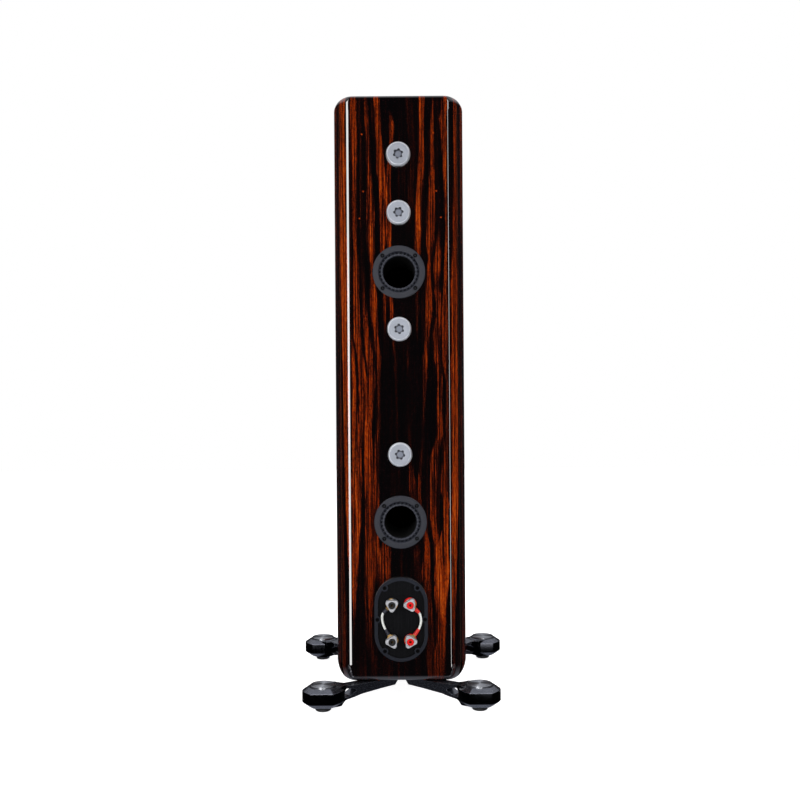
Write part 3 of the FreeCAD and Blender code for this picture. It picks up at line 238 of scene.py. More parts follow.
def make_moulded_skin():
    """The fine pebble of a moulded or coated surface, with smudges in its gloss."""
    net, tree, (given, out) = new_group(
        "moulded_skin",
        [("Grain", "Float", 2500.0), ("Depth", "Float", 0.1), ("Gloss Low", "Float", 0.4),
         ("Gloss High", "Float", 0.55)],
        [("Normal", "Vector"), ("Roughness", "Float"), ("Cloud", "Float")])
    point = net.object_point()
    grain = net.noise(point, given["Grain"], 2.0, 0.5)
    cloud = net.noise(point, 38.0, 4.0, 0.6)
    net.put(out["Normal"], net.bump(grain, given["Depth"], 0.0001))
    net.put(out["Roughness"], net.span(cloud, 0.3, 0.7, given["Gloss Low"], given["Gloss High"]))
    net.put(out["Cloud"], cloud)
    return tree


def make_edge_wear_and_highlight():
    """Outer edges, as rubbed wear and a painted highlight: 1 on the edge, 0 on the flats and in the corners.
    """
    net, tree, (given, out) = new_group(
        "worn_edge", [("Point", "Vector", None), ("Reach", "Float", 0.04)], [("Edge", "Float")])
    bent = net.add("NewGeometry").outputs["Pointiness"]
    rub = net.noise(given["Point"], 120.0, 3.0, 0.6)
    high = net.math("ADD", 0.5, given["Reach"])
    edge = net.add("MapRange", {"Value": bent, "From Min": 0.505, "From Max": high}, clamp=True).outputs[0]
    net.put(out["Edge"], net.math("MULTIPLY", edge, net.span(rub, 0.3, 0.6, 0.4, 1.0)))
    return tree


lathe_marks = make_lathe_marks()
brushed_lines = make_brushed_lines()
moulded_skin = make_moulded_skin()
worn_edge = make_edge_wear_and_highlight()


# ------------------------------------------------------------------- veneer
# Each light stripe runs up its half of the back: (height in m, distance from the book-match
# line in mm, half width in mm, strength). Past about 92 mm the distance goes on round the corner.
LEFT_STRIPES = (
    ((1.10, 39, 5.5, 0.8), (1.02, 34.5, 5.5, 0.75), (0.98, 32.5, 8, 0.6), (0.93, 29, 8, 0.75),
     (0.88, 26, 9, 0.65), (0.84, 28, 5, 0.8), (0.77, 27, 4, 0.6), (0.73, 25, 3, 0.65), (0.69, 25, 3, 0.45),
     (0.66, 26, 2, 0.0)),
    ((1.08, 16, 1, 0.0), (1.05, 12, 4, 0.8), (1.02, 13, 3, 0.6), (0.93, 19, 5, 0.45),
     (0.84, 17.5, 4, 0.75), (0.74, 15.5, 3, 0.55), (0.70, 12.5, 5, 0.5), (0.66, 10, 3, 0.3),
     (0.62, 6, 1, 0.42), (0.50, 5.5, 0.9, 0.42), (0.42, 3, 0.8, 0.35), (0.36, 2, 0.5, 0.0)),
    ((1.10, 59, 3, 0.5), (1.04, 56, 4, 0.6), (0.98, 55, 4, 0.6), (0.93, 52, 5, 0.7), (0.89, 51, 7, 0.65),
     (0.84, 50.5, 6, 0.8), (0.79, 49, 3, 0.6), (0.73, 45.5, 6.5, 0.85), (0.67, 43, 4, 0.6),
     (0.63, 39, 4, 0.7), (0.587, 38, 3, 0.5), (0.52, 37, 2.5, 0.3), (0.48, 42, 4, 0.5), (0.40, 44, 6, 0.5),
     (0.32, 46, 7, 0.75), (0.28, 45.5, 7, 0.85), (0.237, 38, 10, 0.6), (0.19, 30, 9, 0.3),
     (0.12, 28, 6, 0.1)),
    ((0.80, 66, 3, 0.1), (0.73, 62, 4, 0.4), (0.67, 59.5, 5, 0.55), (0.63, 55, 6, 0.65),
     (0.587, 51, 6, 0.65), (0.545, 54, 7, 0.55), (0.487, 58.5, 7, 0.75), (0.445, 57.5, 8, 0.75),
     (0.36, 56, 8, 0.7), (0.30, 60, 6, 0.65), (0.237, 56, 10, 0.7), (0.19, 58, 9, 0.5),
     (0.15, 57, 7, 0.35), (0.107, 57, 6, 0.25), (0.066, 50, 7, 0.2)),
    ((1.10, 81, 5, 0.7), (1.04, 80.5, 6, 0.65), (0.93, 80.5, 4.5, 0.7), (0.84, 79, 4, 0.75),
     (0.795, 78, 6, 0.65), (0.73, 77.5, 6, 0.7), (0.67, 76, 6, 0.75), (0.63, 72, 6, 0.8),
     (0.587, 66.5, 7, 0.7), (0.545, 66, 7, 0.65), (0.50, 70, 5, 0.4), (0.45, 74, 3, 0.1)),
    ((0.70, 88, 2, 0.2), (0.63, 85, 3, 0.6), (0.587, 82.5, 4, 0.75), (0.545, 81.5, 5, 0.8),
     (0.487, 80.5, 7, 0.8), (0.40, 79, 9, 0.85), (0.32, 80.5, 7, 0.85), (0.28, 82, 6, 0.8),
     (0.237, 84, 5, 0.75), (0.19, 86.5, 4, 0.6), (0.15, 87, 2, 0.25), (0.10, 87, 1, 0.0)),
    ((0.34, 30, 2, 0.0), (0.30, 24, 7, 0.3), (0.274, 28, 10, 0.5), (0.232, 28, 10, 0.45),
     (0.18, 26, 6, 0.1)),
    ((1.10, 69.5, 1, 0.35), (0.90, 69, 1, 0.35), (0.85, 68, 1.5, 0.25), (0.74, 66, 2, 0.1)),
    ((1.10, 108, 11, 0.9), (0.90, 108, 12, 0.9), (0.75, 105, 13, 0.95), (0.60, 101, 10, 0.95),
     (0.50, 100, 8, 0.95), (0.40, 98, 6, 0.95), (0.32, 96, 5, 0.9), (0.26, 93, 3, 0.85),
     (0.22, 91, 2, 0.4), (0.15, 90, 1, 0.0)),
    ((1.10, 124, 3, 0.4), (0.60, 124, 4, 0.35), (0.30, 119, 9, 0.35), (0.10, 114, 12, 0.35)),
)
RIGHT_STRIPES = (
    ((1.10, 43, 5, 0.85), (1.06, 42, 4, 0.8), (0.99, 41.5, 6, 0.6), (0.93, 38.5, 5, 0.85),
     (0.89, 36, 5, 0.8), (0.84, 34.5, 5, 0.9), (0.78, 33.5, 3, 0.7), (0.74, 33.5, 2.5, 0.6),
     (0.70, 33, 2.5, 0.35), (0.64, 33, 1.5, 0.0)),
    ((1.10, 65, 2.5, 0.55), (1.04, 61.5, 4, 0.65), (0.98, 62, 3.5, 0.65), (0.93, 60, 5, 0.85),
     (0.89, 58.5, 7, 0.65), (0.84, 55.5, 7, 0.75), (0.805, 57, 3, 0.65), (0.77, 55, 5, 0.5),
     (0.74, 53.5, 6, 0.8), (0.70, 52.5, 6, 0.75), (0.67, 50, 4, 0.65), (0.63, 48.5, 4, 0.65),
     (0.587, 46, 3.5, 0.4), (0.53, 43, 2, 0.3), (0.48, 42, 2, 0.15), (0.42, 36, 3, 0.35),
     (0.38, 34, 4, 0.5), (0.34, 36, 4, 0.4), (0.28, 49, 6, 0.6), (0.237, 46, 8, 0.5), (0.19, 48, 6, 0.5),
     (0.13, 52, 6, 0.3), (0.066, 54, 8, 0.3)),
    ((0.86, 72, 2, 0.15), (0.80, 69, 6, 0.8), (0.785, 69, 6, 0.8), (0.76, 68, 4, 0.4), (0.74, 70, 6, 0.6),
     (0.70, 71, 5, 0.65), (0.67, 66, 6, 0.45), (0.63, 68.5, 5, 0.65), (0.587, 74, 5, 0.75),
     (0.545, 71.5, 4.5, 0.75), (0.487, 74, 5, 0.6), (0.445, 62, 7, 0.5), (0.40, 60.5, 7, 0.7),
     (0.36, 61, 6, 0.75), (0.32, 61, 5, 0.65), (0.29, 66, 5, 0.5), (0.25, 66, 4, 0.4)),
    ((1.10, 84, 5, 0.65), (1.06, 81.5, 6.5, 0.7), (1.02, 84, 5, 0.5), (0.98, 85, 3.5, 0.75),
     (0.86, 86.5, 2.5, 0.8), (0.80, 84.5, 3, 0.7), (0.74, 83.5, 4, 0.6), (0.67, 80.5, 7, 0.55),
     (0.63, 82, 5, 0.5), (0.587, 86, 2.5, 0.6), (0.53, 87, 2, 0.75), (0.45, 84, 4, 0.5),
     (0.40, 79, 8, 0.45), (0.36, 84, 5, 0.75), (0.32, 84, 4, 0.85), (0.28, 75, 11, 0.9),
     (0.237, 75.5, 13, 0.95), (0.19, 72, 12, 0.95), (0.15, 73, 9, 0.75), (0.107, 72, 9, 0.55),
     (0.066, 68, 12, 0.35)),
    ((1.10, 20, 6, 0.2), (1.00, 26, 5, 0.25), (0.90, 24, 4, 0.2), (0.84, 15, 1, 0.15),
     (0.66, 15, 1.5, 0.1), (0.62, 15, 2, 0.28), (0.57, 15, 1, 0.0), (0.43, 18, 3, 0.3), (0.40, 22, 7, 0.4),
     (0.37, 24, 6, 0.35), (0.34, 26, 3, 0.1), (0.30, 28, 2, 0.0), (0.27, 30, 6, 0.3), (0.20, 30, 5, 0.2),
     (0.10, 30, 4, 0.1)),
    ((1.10, 112, 7, 0.55), (0.90, 112, 9, 0.6), (0.75, 107, 12, 0.75), (0.60, 106, 12, 0.8),
     (0.45, 105, 11, 0.85), (0.36, 104, 10, 0.85), (0.30, 101, 8, 0.85), (0.20, 99, 6, 0.7),
     (0.14, 97, 4, 0.5), (0.09, 96, 3, 0.3)),
    ((1.10, 127, 2, 0.25), (0.50, 126, 2, 0.3), (0.06, 125, 2, 0.2)),
)
KNOTS = ((-66, 1.033), (-64, 0.929), (-71, 0.880), (64, 1.035), (69, 0.929), (77, 0.881))   # mm across, m up
KNOT_SIZE = 2.2 * mm
STRIPE_REACH = 140.0         # mm that a track's red channel spans
STRIPE_BROADEST = 20.0       # mm that its green channel spans
STRIPE_EDGE = 1.5 * mm       # softness of a stripe's edges
EBONY = ((0.0, (0.0008, 0.0002, 0.0003)), (0.14, (0.0075, 0.0009, 0.0005)), (0.3, (0.05, 0.0052, 0.0006)),
         (0.5, (0.155, 0.0145, 0.0006)), (0.72, (0.285, 0.029, 0.0009)), (0.88, (0.38, 0.045, 0.002)),
         (1.0, (0.5, 0.085, 0.007)))
INNER_SKIN = 12 * mm         # further in than this from the outside the boards are bare
BARE_BOARD = (0.02, 0.013, 0.008)
BOOK_SHIFT = 0.13            # sets the two leaves apart in the figure


def make_veneer_stripe():
    """One light stripe laid over those under it. The track's colour holds where it runs at this
    height: red its distance from the match line, green its half width, blue its strength."""
    net, tree, (given, out) = new_group(
        "veneer_stripe",
        [("Across", "Float", None), ("Track", "Color", None), ("Share", "Float", 1.0),
         ("Under", "Float", 0.0)],
        [("Figure", "Float")])
    track = net.add("SeparateColor", {"Color": given["Track"]}).outputs
    middle = net.math("MULTIPLY", track["Red"], STRIPE_REACH * mm)
    half = net.math("MULTIPLY", track["Green"], STRIPE_BROADEST * mm)
    away = net.math("SUBTRACT", net.math("ABSOLUTE", net.math("SUBTRACT", given["Across"], middle)), half)
    lit = net.span(away, -STRIPE_EDGE, STRIPE_EDGE, 1.0, 0.0)
    lit = net.math("MULTIPLY", net.math("MULTIPLY", lit, track["Blue"]), given["Share"])
    net.put(out["Figure"], net.math("MAXIMUM", given["Under"], lit))
    return tree


def lay_stripes(net, group, across, height, share, stripes, under):
    """The stripes of one half of the back, over what lies under them."""
    for stripe in stripes:
        stops = [(z / top_z, (distance / STRIPE_REACH, half / STRIPE_BROADEST, strength))
                 for z, distance, half, strength in reversed(stripe)]
        track = net.ramp(height, stops)
        under = net.group(group, Across=across, Track=track, Share=share, Under=under)["Figure"]
    return under


def veneer_knots(net, x, z, upright, shade):
    """The pin knots, as pale spots over the figure."""
    for across_mm, up in KNOTS:
        centre = net.join(across_mm * mm, 0.0, up)
        gap = net.vector("LENGTH", net.vector("SUBTRACT", net.join(x, 0.0, z), centre))
        spot = net.math("MULTIPLY", net.span(gap, KNOT_SIZE * 0.4, KNOT_SIZE, 0.9, 0.0), upright)
        shade = net.math("MAXIMUM", shade, spot)
    return shade


def lacquered_skin(net, y, z, width):
    """1 within INNER_SKIN of the cabinet's outside, 0 on the bare boards inside."""
    side_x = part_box("side_panel_right")[1].x
    skin = net.span(y, back_y + INNER_SKIN, back_y + INNER_SKIN + mm, 1.0, 0.0)
    skin = net.math("MAXIMUM", skin, net.span(y, front_y - INNER_SKIN - mm, front_y - INNER_SKIN))
    skin = net.math("MAXIMUM", skin, net.span(width, side_x - INNER_SKIN - mm, side_x - INNER_SKIN))
    from_middle = net.math("ABSOLUTE", net.math("SUBTRACT", z, (foot_z + top_z) / 2))
    at_end = net.math("GREATER_THAN", from_middle, (top_z - foot_z) / 2 - INNER_SKIN)
    return net.math("MAXIMUM", skin, at_end)


def ebony_veneer():
    """Striped ebony, book-matched at the middle of the back and carried round the corners,
    under a deep clear lacquer."""
    material, net, shader = finish_of("ebony_veneer", Coat_Roughness=0.012, Coat_IOR=2.1,
                                      Specular_IOR_Level=0.0, Roughness=0.6)
    x, y, z = net.split(net.object_point())
    normal_z = net.split(net.add("NewGeometry").outputs["Normal"])[2]
    flat = net.math("GREATER_THAN", net.math("ABSOLUTE", normal_z), 0.8)
    upright = net.math("SUBTRACT", 1.0, flat)
    on_right = net.math("GREATER_THAN", x, 0.0)
    on_left = net.math("SUBTRACT", 1.0, on_right)
    depth = net.math("SUBTRACT", y, back_y)
    width = net.math("ABSOLUTE", x)
    across = net.math("ADD", width, net.math("MULTIPLY", depth, upright))
    along = net.math("ADD", net.math("MULTIPLY", z, upright),
                     net.math("MULTIPLY", net.math("ADD", depth, top_z), flat))
    leaf = net.math("MULTIPLY", net.math("SIGN", x), BOOK_SHIFT)

    def figure(across_scale, along_scale, detail, roughness, distortion, slice_scale=1.0):
        point = net.join(net.math("MULTIPLY", across, across_scale), net.math("MULTIPLY", along, along_scale),
                         net.math("MULTIPLY", leaf, slice_scale))
        return net.noise(point, 1.0, detail, roughness, distortion)

    wander = net.math("SUBTRACT", figure(22.0, 9.0, 2.0, 0.5, 0.3), 0.5)
    shiver = net.math("SUBTRACT", figure(260.0, 46.0, 2.0, 0.6, 0.0, 2.0), 0.5)
    place = net.math("ADD", across, net.math("MULTIPLY", wander, 0.007))
    place = net.math("ADD", place, net.math("MULTIPLY", shiver, 0.0042))
    height = net.math("DIVIDE", along, top_z)
    group = make_veneer_stripe()
    stripes = lay_stripes(net, group, place, height, on_left, LEFT_STRIPES, 0.0)
    stripes = lay_stripes(net, group, place, height, on_right, RIGHT_STRIPES, stripes)
    side_figure = net.span(figure(62.0, 1.1, 3.0, 0.7, 0.4), 0.42, 0.62, 0.0, 0.95)
    stripes = net.mix(net.span(place, 0.128, 0.15), stripes, side_figure)

    streak = net.span(figure(520.0, 7.0, 2.0, 0.6, 0.3, 3.0), 0.37, 0.6, 0.16, 1.15)
    hairline = net.span(figure(980.0, 11.0, 2.0, 0.6, 0.3, 9.0), 0.36, 0.55, 0.42, 1.06)
    streak = net.math("MULTIPLY", streak, hairline)
    fibre = net.span(figure(1500.0, 30.0, 2.0, 0.6, 0.2, 8.0), 0.3, 0.7, 0.75, 1.3)
    curl = net.span(figure(420.0, 110.0, 3.0, 0.7, 1.4, 5.0), 0.32, 0.66, 0.5, 1.3)
    faint = net.math("MULTIPLY", net.span(figure(330.0, 5.0, 3.0, 0.7, 0.4, 6.0), 0.5, 0.72, 0.0, 0.26),
                     net.span(figure(14.0, 5.0, 1.0, 0.5, 0.0, 4.0), 0.4, 0.6, 0.2, 1.0))
    shade = net.math("MULTIPLY", net.math("MULTIPLY", stripes, streak), net.math("MULTIPLY", fibre, curl))
    shade = net.math("MAXIMUM", shade, faint)
    shade = veneer_knots(net, x, z, upright, shade)
    outside = lacquered_skin(net, y, z, width)
    net.put(shader["Base Color"], net.mix(outside, BARE_BOARD, net.ramp(shade, EBONY)))
    net.put(shader["Coat Weight"], outside)
    return material


# ------------------------------------------------------------------ finishes
def turned_metal(name, colour, axis, roughness, pitch=900.0, depth=0.25, metallic=0.75):
    """Metal fresh from the lathe, lighter on its outer edges as wear and a painted highlight."""
    material, net, shader = finish_of(name, Metallic=metallic)
    x, y, z = net.split(net.object_point())
    point = net.join(x, z, y) if axis == "Y" else net.join(x, y, z)
    marks = net.group(lathe_marks, Point=point, Pitch=pitch, Depth=depth)
    edge = net.group(worn_edge, Point=point, Reach=0.05)["Edge"]
    # Wear and painted highlight: the outer edges take a lighter copy of the colour.
    bright = tuple(min(1.0, c * 1.25 + 0.02) for c in colour)
    dull = tuple(c * 0.88 for c in colour)
    body = net.mix(net.span(marks["Rings"], 0.35, 0.65), dull, colour)
    net.put(shader["Base Color"], net.mix(edge, body, bright))
    net.put(shader["Roughness"], net.span(marks["Rings"], 0.3, 0.7, roughness - 0.05, roughness + 0.07))
    net.put(shader["Normal"], marks["Normal"])
    return material


def brushed_metal(name, colour, squeeze, roughness, metallic=0.5, depth=0.2, **constants):
    """Metal brushed in straight lines; squeeze is how fine the lines are along each axis."""
    material, net, shader = finish_of(name, Metallic=metallic, **constants)
    point = net.vector("MULTIPLY", net.object_point(), squeeze)
    lines = net.group(brushed_lines, Point=point, Depth=depth)
    dull, pale = tuple(c * 0.7 for c in colour), tuple(c * 1.25 for c in colour)
    net.put(shader["Base Color"], net.mix(net.span(lines["Lines"], 0.38, 0.62), dull, pale))
    net.put(shader["Roughness"], net.span(lines["Lines"], 0.3, 0.7, roughness - 0.06, roughness + 0.08))
    net.put(shader["Normal"], lines["Normal"])
    return material


def moulded(name, colour, low, high, grain=2500.0, depth=0.12, metallic=0.0, **constants):
    """Plastic, rubber or powder coat with a fine pebble and slight clouding."""
    material, net, shader = finish_of(name, Metallic=metallic, **constants)
    skin = net.group(moulded_skin, Grain=grain, Depth=depth, Gloss_Low=low, Gloss_High=high)
    dark, pale = tuple(c * 0.85 for c in colour), tuple(min(1.0, c * 1.12) for c in colour)
    net.put(shader["Base Color"], net.mix(net.span(skin["Cloud"], 0.3, 0.7), dark, pale))
    net.put(shader["Roughness"], skin["Roughness"])
    net.put(shader["Normal"], skin["Normal"])
    return material


BORE_SHADE_FROM, BORE_SHADE_FULL = 3.4 * mm, 7.5 * mm      # depth in a port where the painted shade starts and covers
CREST_HIGHLIGHT_OUTER, CREST_HIGHLIGHT_INNER = 33.0 * mm, 31.4 * mm  # the fluted crest has a painted highlight inside this radius


def port_moulding():
    """The ports' moulding: satin at the mouth with a painted highlight on its crest, and painted shade, near
    black, down the bore.
    """
    material, net, shader = finish_of("port_moulding", Specular_IOR_Level=0.2)
    skin = net.group(moulded_skin, Grain=2500.0, Depth=0.12, Gloss_Low=0.42, Gloss_High=0.54)
    depth = net.split(net.object_point())[1]
    # Painted shade: the colour goes near black deeper down the bore.
    bore = net.span(depth, BORE_SHADE_FROM, BORE_SHADE_FULL)
    satin = net.mix(net.span(skin["Cloud"], 0.3, 0.7), (0.017, 0.0185, 0.026), (0.022, 0.024, 0.033))
    x, _, z = net.split(net.object_point())
    # Painted highlight: the crest of the flutes is paler inside a radius.
    crest = net.span(net.vector("LENGTH", net.join(x, 0.0, z)), CREST_HIGHLIGHT_OUTER, CREST_HIGHLIGHT_INNER)
    satin = net.mix(crest, satin, (0.05, 0.053, 0.068))
    net.put(shader["Base Color"], net.mix(bore, satin, (0.0008, 0.0008, 0.0009)))
    net.put(shader["Roughness"], net.math("MAXIMUM", skin["Roughness"], net.math("MULTIPLY", bore, 0.95)))
    net.put(shader["Normal"], skin["Normal"])
    return material


RIM_BACK, FIELD_FRONT = 1.0 * mm, 1.8 * mm       # depths between which the plate's rim turns to field


def terminal_facing():
    """The terminal plate: a near-black field brushed upright, inside a raised satin rim."""
    material, net, shader = finish_of("terminal_facing", Specular_IOR_Level=0.02)
    point = net.vector("MULTIPLY", net.object_point(), (2600.0, 100.0, 45.0))
    lines = net.group(brushed_lines, Point=point, Depth=0.2)
    field = net.mix(net.span(lines["Lines"], 0.38, 0.62), (0.0028, 0.0029, 0.0034), (0.008, 0.0083, 0.0096))
    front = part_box("terminal_plate")[0].y
    rim = net.span(net.split(net.object_point())[1], front + RIM_BACK, front + FIELD_FRONT, 1.0, 0.0)
    net.put(shader["Base Color"], net.mix(rim, field, (0.02, 0.022, 0.029)))
    net.put(shader["Roughness"], net.span(lines["Lines"], 0.3, 0.7, 0.34, 0.48))
    net.put(shader["Normal"], lines["Normal"])
    return material


BOLT_RIM_HIGHLIGHT = (18.9 * mm, 19.7 * mm)                # radius where the painted highlight on the bevelled rim starts and is full
SOCKET_SHADE_RADIUS = (11.5 * mm, 11.0 * mm)            # radius inside which the socket's painted shade lies
SOCKET_SHADE_DEPTH = (0.5 * mm, 1.1 * mm)              # depth at which the painted shade starts and is full
SOCKET_WALL_SHADE_RADIUS = (4.6 * mm, 6.4 * mm)              # radius where the floor's lighter painted shade gives way to the walls' darker one


def bolt_face():
    """The tension bolts: turned face, a painted highlight on the bevelled rim and painted shade in the
    socket.
    """
    material, net, shader = finish_of("bolt_face")
    x, depth, z = net.split(net.object_point())
    marks = net.group(lathe_marks, Point=net.join(x, z, depth), Pitch=1300.0, Depth=0.2)
    radius = net.vector("LENGTH", net.join(x, 0.0, z))
    face = net.mix(net.span(marks["Rings"], 0.35, 0.65), (0.2, 0.213, 0.245), (0.25, 0.265, 0.3))
    # Painted highlight: the bevelled rim is paler than the face.
    rim = net.span(radius, *BOLT_RIM_HIGHLIGHT)
    body = net.mix(rim, face, (0.62, 0.64, 0.68))
    # Painted shade: the socket is dark, its walls darker than its floor.
    socket = net.math("MULTIPLY", net.span(radius, *SOCKET_SHADE_RADIUS), net.span(depth, *SOCKET_SHADE_DEPTH))
    wall_shade = net.span(radius, *SOCKET_WALL_SHADE_RADIUS)
    inside = net.mix(wall_shade, (0.13, 0.14, 0.17), (0.035, 0.036, 0.043))
    net.put(shader["Base Color"], net.mix(socket, body, inside))
    net.put(shader["Metallic"], net.span(socket, 0.0, 1.0, 0.7, 1.0))
    net.put(shader["Roughness"], net.span(marks["Rings"], 0.3, 0.7, 0.3, 0.42))
    net.put(shader["Normal"], marks["Normal"])
    return material


GROOVE_INNER = (19.6 * mm, 20.0 * mm)            # the knob's dark groove, from its inner edge
GROOVE_OUTER = (21.0 * mm, 20.6 * mm)            # to its outer edge


def knob_face():
    """The feet's turned knobs, with a dark groove round the top and gloss stretched by the turning."""
    material, net, shader = finish_of("knob_face", Metallic=1.0, Anisotropic=0.9, Anisotropic_Rotation=0.25)
    x, y, _ = net.split(net.object_point())
    marks = net.group(lathe_marks, Point=net.object_point(), Pitch=2400.0, Depth=0.15)
    radius = net.vector("LENGTH", net.join(x, y, 0.0))
    turned = net.mix(net.span(marks["Rings"], 0.3, 0.7), (0.3, 0.31, 0.335), (0.44, 0.45, 0.475))
    groove = net.math("MULTIPLY", net.span(radius, *GROOVE_INNER), net.span(radius, *GROOVE_OUTER))
    net.put(shader["Base Color"], net.mix(groove, turned, (0.03, 0.031, 0.037)))
    net.put(shader["Roughness"], net.span(marks["Rings"], 0.3, 0.7, 0.38, 0.46))
    net.put(shader["Normal"], marks["Normal"])
    return material


HUB_REACH = (42.0 * mm, 40.0 * mm)               # round a knob's axis, where upright faces are polished


def milled_alloy():
    """The outriggers: brushed, with the hubs' upright faces polished almost black."""
    material, net, shader = finish_of("milled_alloy", Metallic=1.0)
    point = net.vector("MULTIPLY", net.object_point(), (150.0, 1700.0, 1700.0))
    lines = net.group(brushed_lines, Point=point, Depth=0.1)
    lean = net.math("ABSOLUTE", net.split(net.add("NewGeometry").outputs["Normal"])[2])
    x, y, _ = net.split(net.object_point())
    hub = net.span(net.vector("LENGTH", net.join(x, y, 0.0)), *HUB_REACH)
    upright = net.math("MULTIPLY", net.span(lean, 0.06, 0.2, 1.0, 0.0), hub)
    body = net.mix(net.span(lines["Lines"], 0.38, 0.62), (0.12, 0.125, 0.147), (0.175, 0.182, 0.21))
    body = net.mix(upright, body, (0.028, 0.029, 0.034))
    net.put(shader["Base Color"], body)
    brushed = net.span(lines["Lines"], 0.3, 0.7, 0.2, 0.32)
    net.put(shader["Roughness"], net.mix(upright, brushed, (0.06, 0.06, 0.06)))
    net.put(shader["Normal"], lines["Normal"])
    return material


PLAIT_PITCH = 2600.0


def woven(name, colour, pitch):
    """Cloth: threads crossing at right angles."""
    material, net, shader = finish_of(name, Roughness=0.85, Sheen_Weight=0.2)
    point = net.vector("MULTIPLY", net.object_point(), (pitch, pitch, pitch))
    x, y, z = net.split(point)
    rows = net.math("SINE", net.math("MULTIPLY", net.math("ADD", x, y), math.tau))
    columns = net.math("SINE", net.math("MULTIPLY", net.math("SUBTRACT", z, y), math.tau))
    thread = net.math("MULTIPLY", rows, columns)
    fuzz = net.noise(net.object_point(), 900.0, 3.0)
    height = net.math("ADD", net.math("MULTIPLY", thread, 0.5), fuzz)
    dark = tuple(c * 0.6 for c in colour)
    net.put(shader["Base Color"], net.mix(net.span(height, 0.2, 1.0), dark, colour))
    net.put(shader["Normal"], net.bump(height, 0.3, 0.0004))
    return material


def sleeve_white():
    """The links' clear sleeve over white and silver braid."""
    material, net, shader = finish_of("sleeve_white", Coat_Weight=0.6, Coat_Roughness=0.15)
    x, _, z = net.split(net.object_point())
    plait = net.math("MULTIPLY", net.math("SINE", net.math("MULTIPLY", net.math("ADD", z, x), PLAIT_PITCH)),
                     net.math("SINE", net.math("MULTIPLY", net.math("SUBTRACT", z, x), PLAIT_PITCH)))
    net.put(shader["Base Color"], net.mix(net.span(plait, -0.5, 0.5), (0.60, 0.62, 0.58), (0.86, 0.87, 0.83)))
    net.put(shader["Roughness"], net.span(plait, -1.0, 1.0, 0.42, 0.3))
    net.put(shader["Normal"], net.bump(plait, 0.15, 0.0002))
    return material


def board_fibre():
    """Bare fibreboard inside the cabinet."""
    material, net, shader = finish_of("board_fibre", Roughness=0.8)
    chips = net.noise(net.object_point(), 420.0, 4.0, 0.7)
    net.put(shader["Base Color"], net.mix(net.span(chips, 0.3, 0.7), (0.30, 0.20, 0.11), (0.50, 0.37, 0.23)))
    net.put(shader["Normal"], net.bump(chips, 0.2, 0.0003))
    return material


def pleated_film():
    """The tweeter's metallised film."""
    material, net, shader = finish_of("pleated_film", Metallic=0.9)
    ripple = net.noise(net.vector("MULTIPLY", net.object_point(), (300.0, 300.0, 60.0)), 1.0, 3.0)
    net.put(shader["Base Color"], net.mix(ripple, (0.42, 0.28, 0.12), (0.62, 0.46, 0.22)))
    net.put(shader["Roughness"], net.span(ripple, 0.2, 0.8, 0.18, 0.35))
    return material


def drive_cone():
    """Pale hard cone, satin with a very fine dimple."""
    material, net, shader = finish_of("drive_cone", Metallic=0.6)
    dimple = net.add("TexVoronoi", {"Vector": net.object_point(), "Scale": 260.0}).outputs["Distance"]
    cloud = net.noise(net.object_point(), 25.0, 3.0)
    net.put(shader["Base Color"], net.mix(cloud, (0.40, 0.41, 0.43), (0.50, 0.51, 0.53)))
    net.put(shader["Roughness"], net.span(cloud, 0.3, 0.7, 0.34, 0.42))
    net.put(shader["Normal"], net.bump(net.span(dimple, 0.15, 0.5), 0.25, 0.0004))
    return material


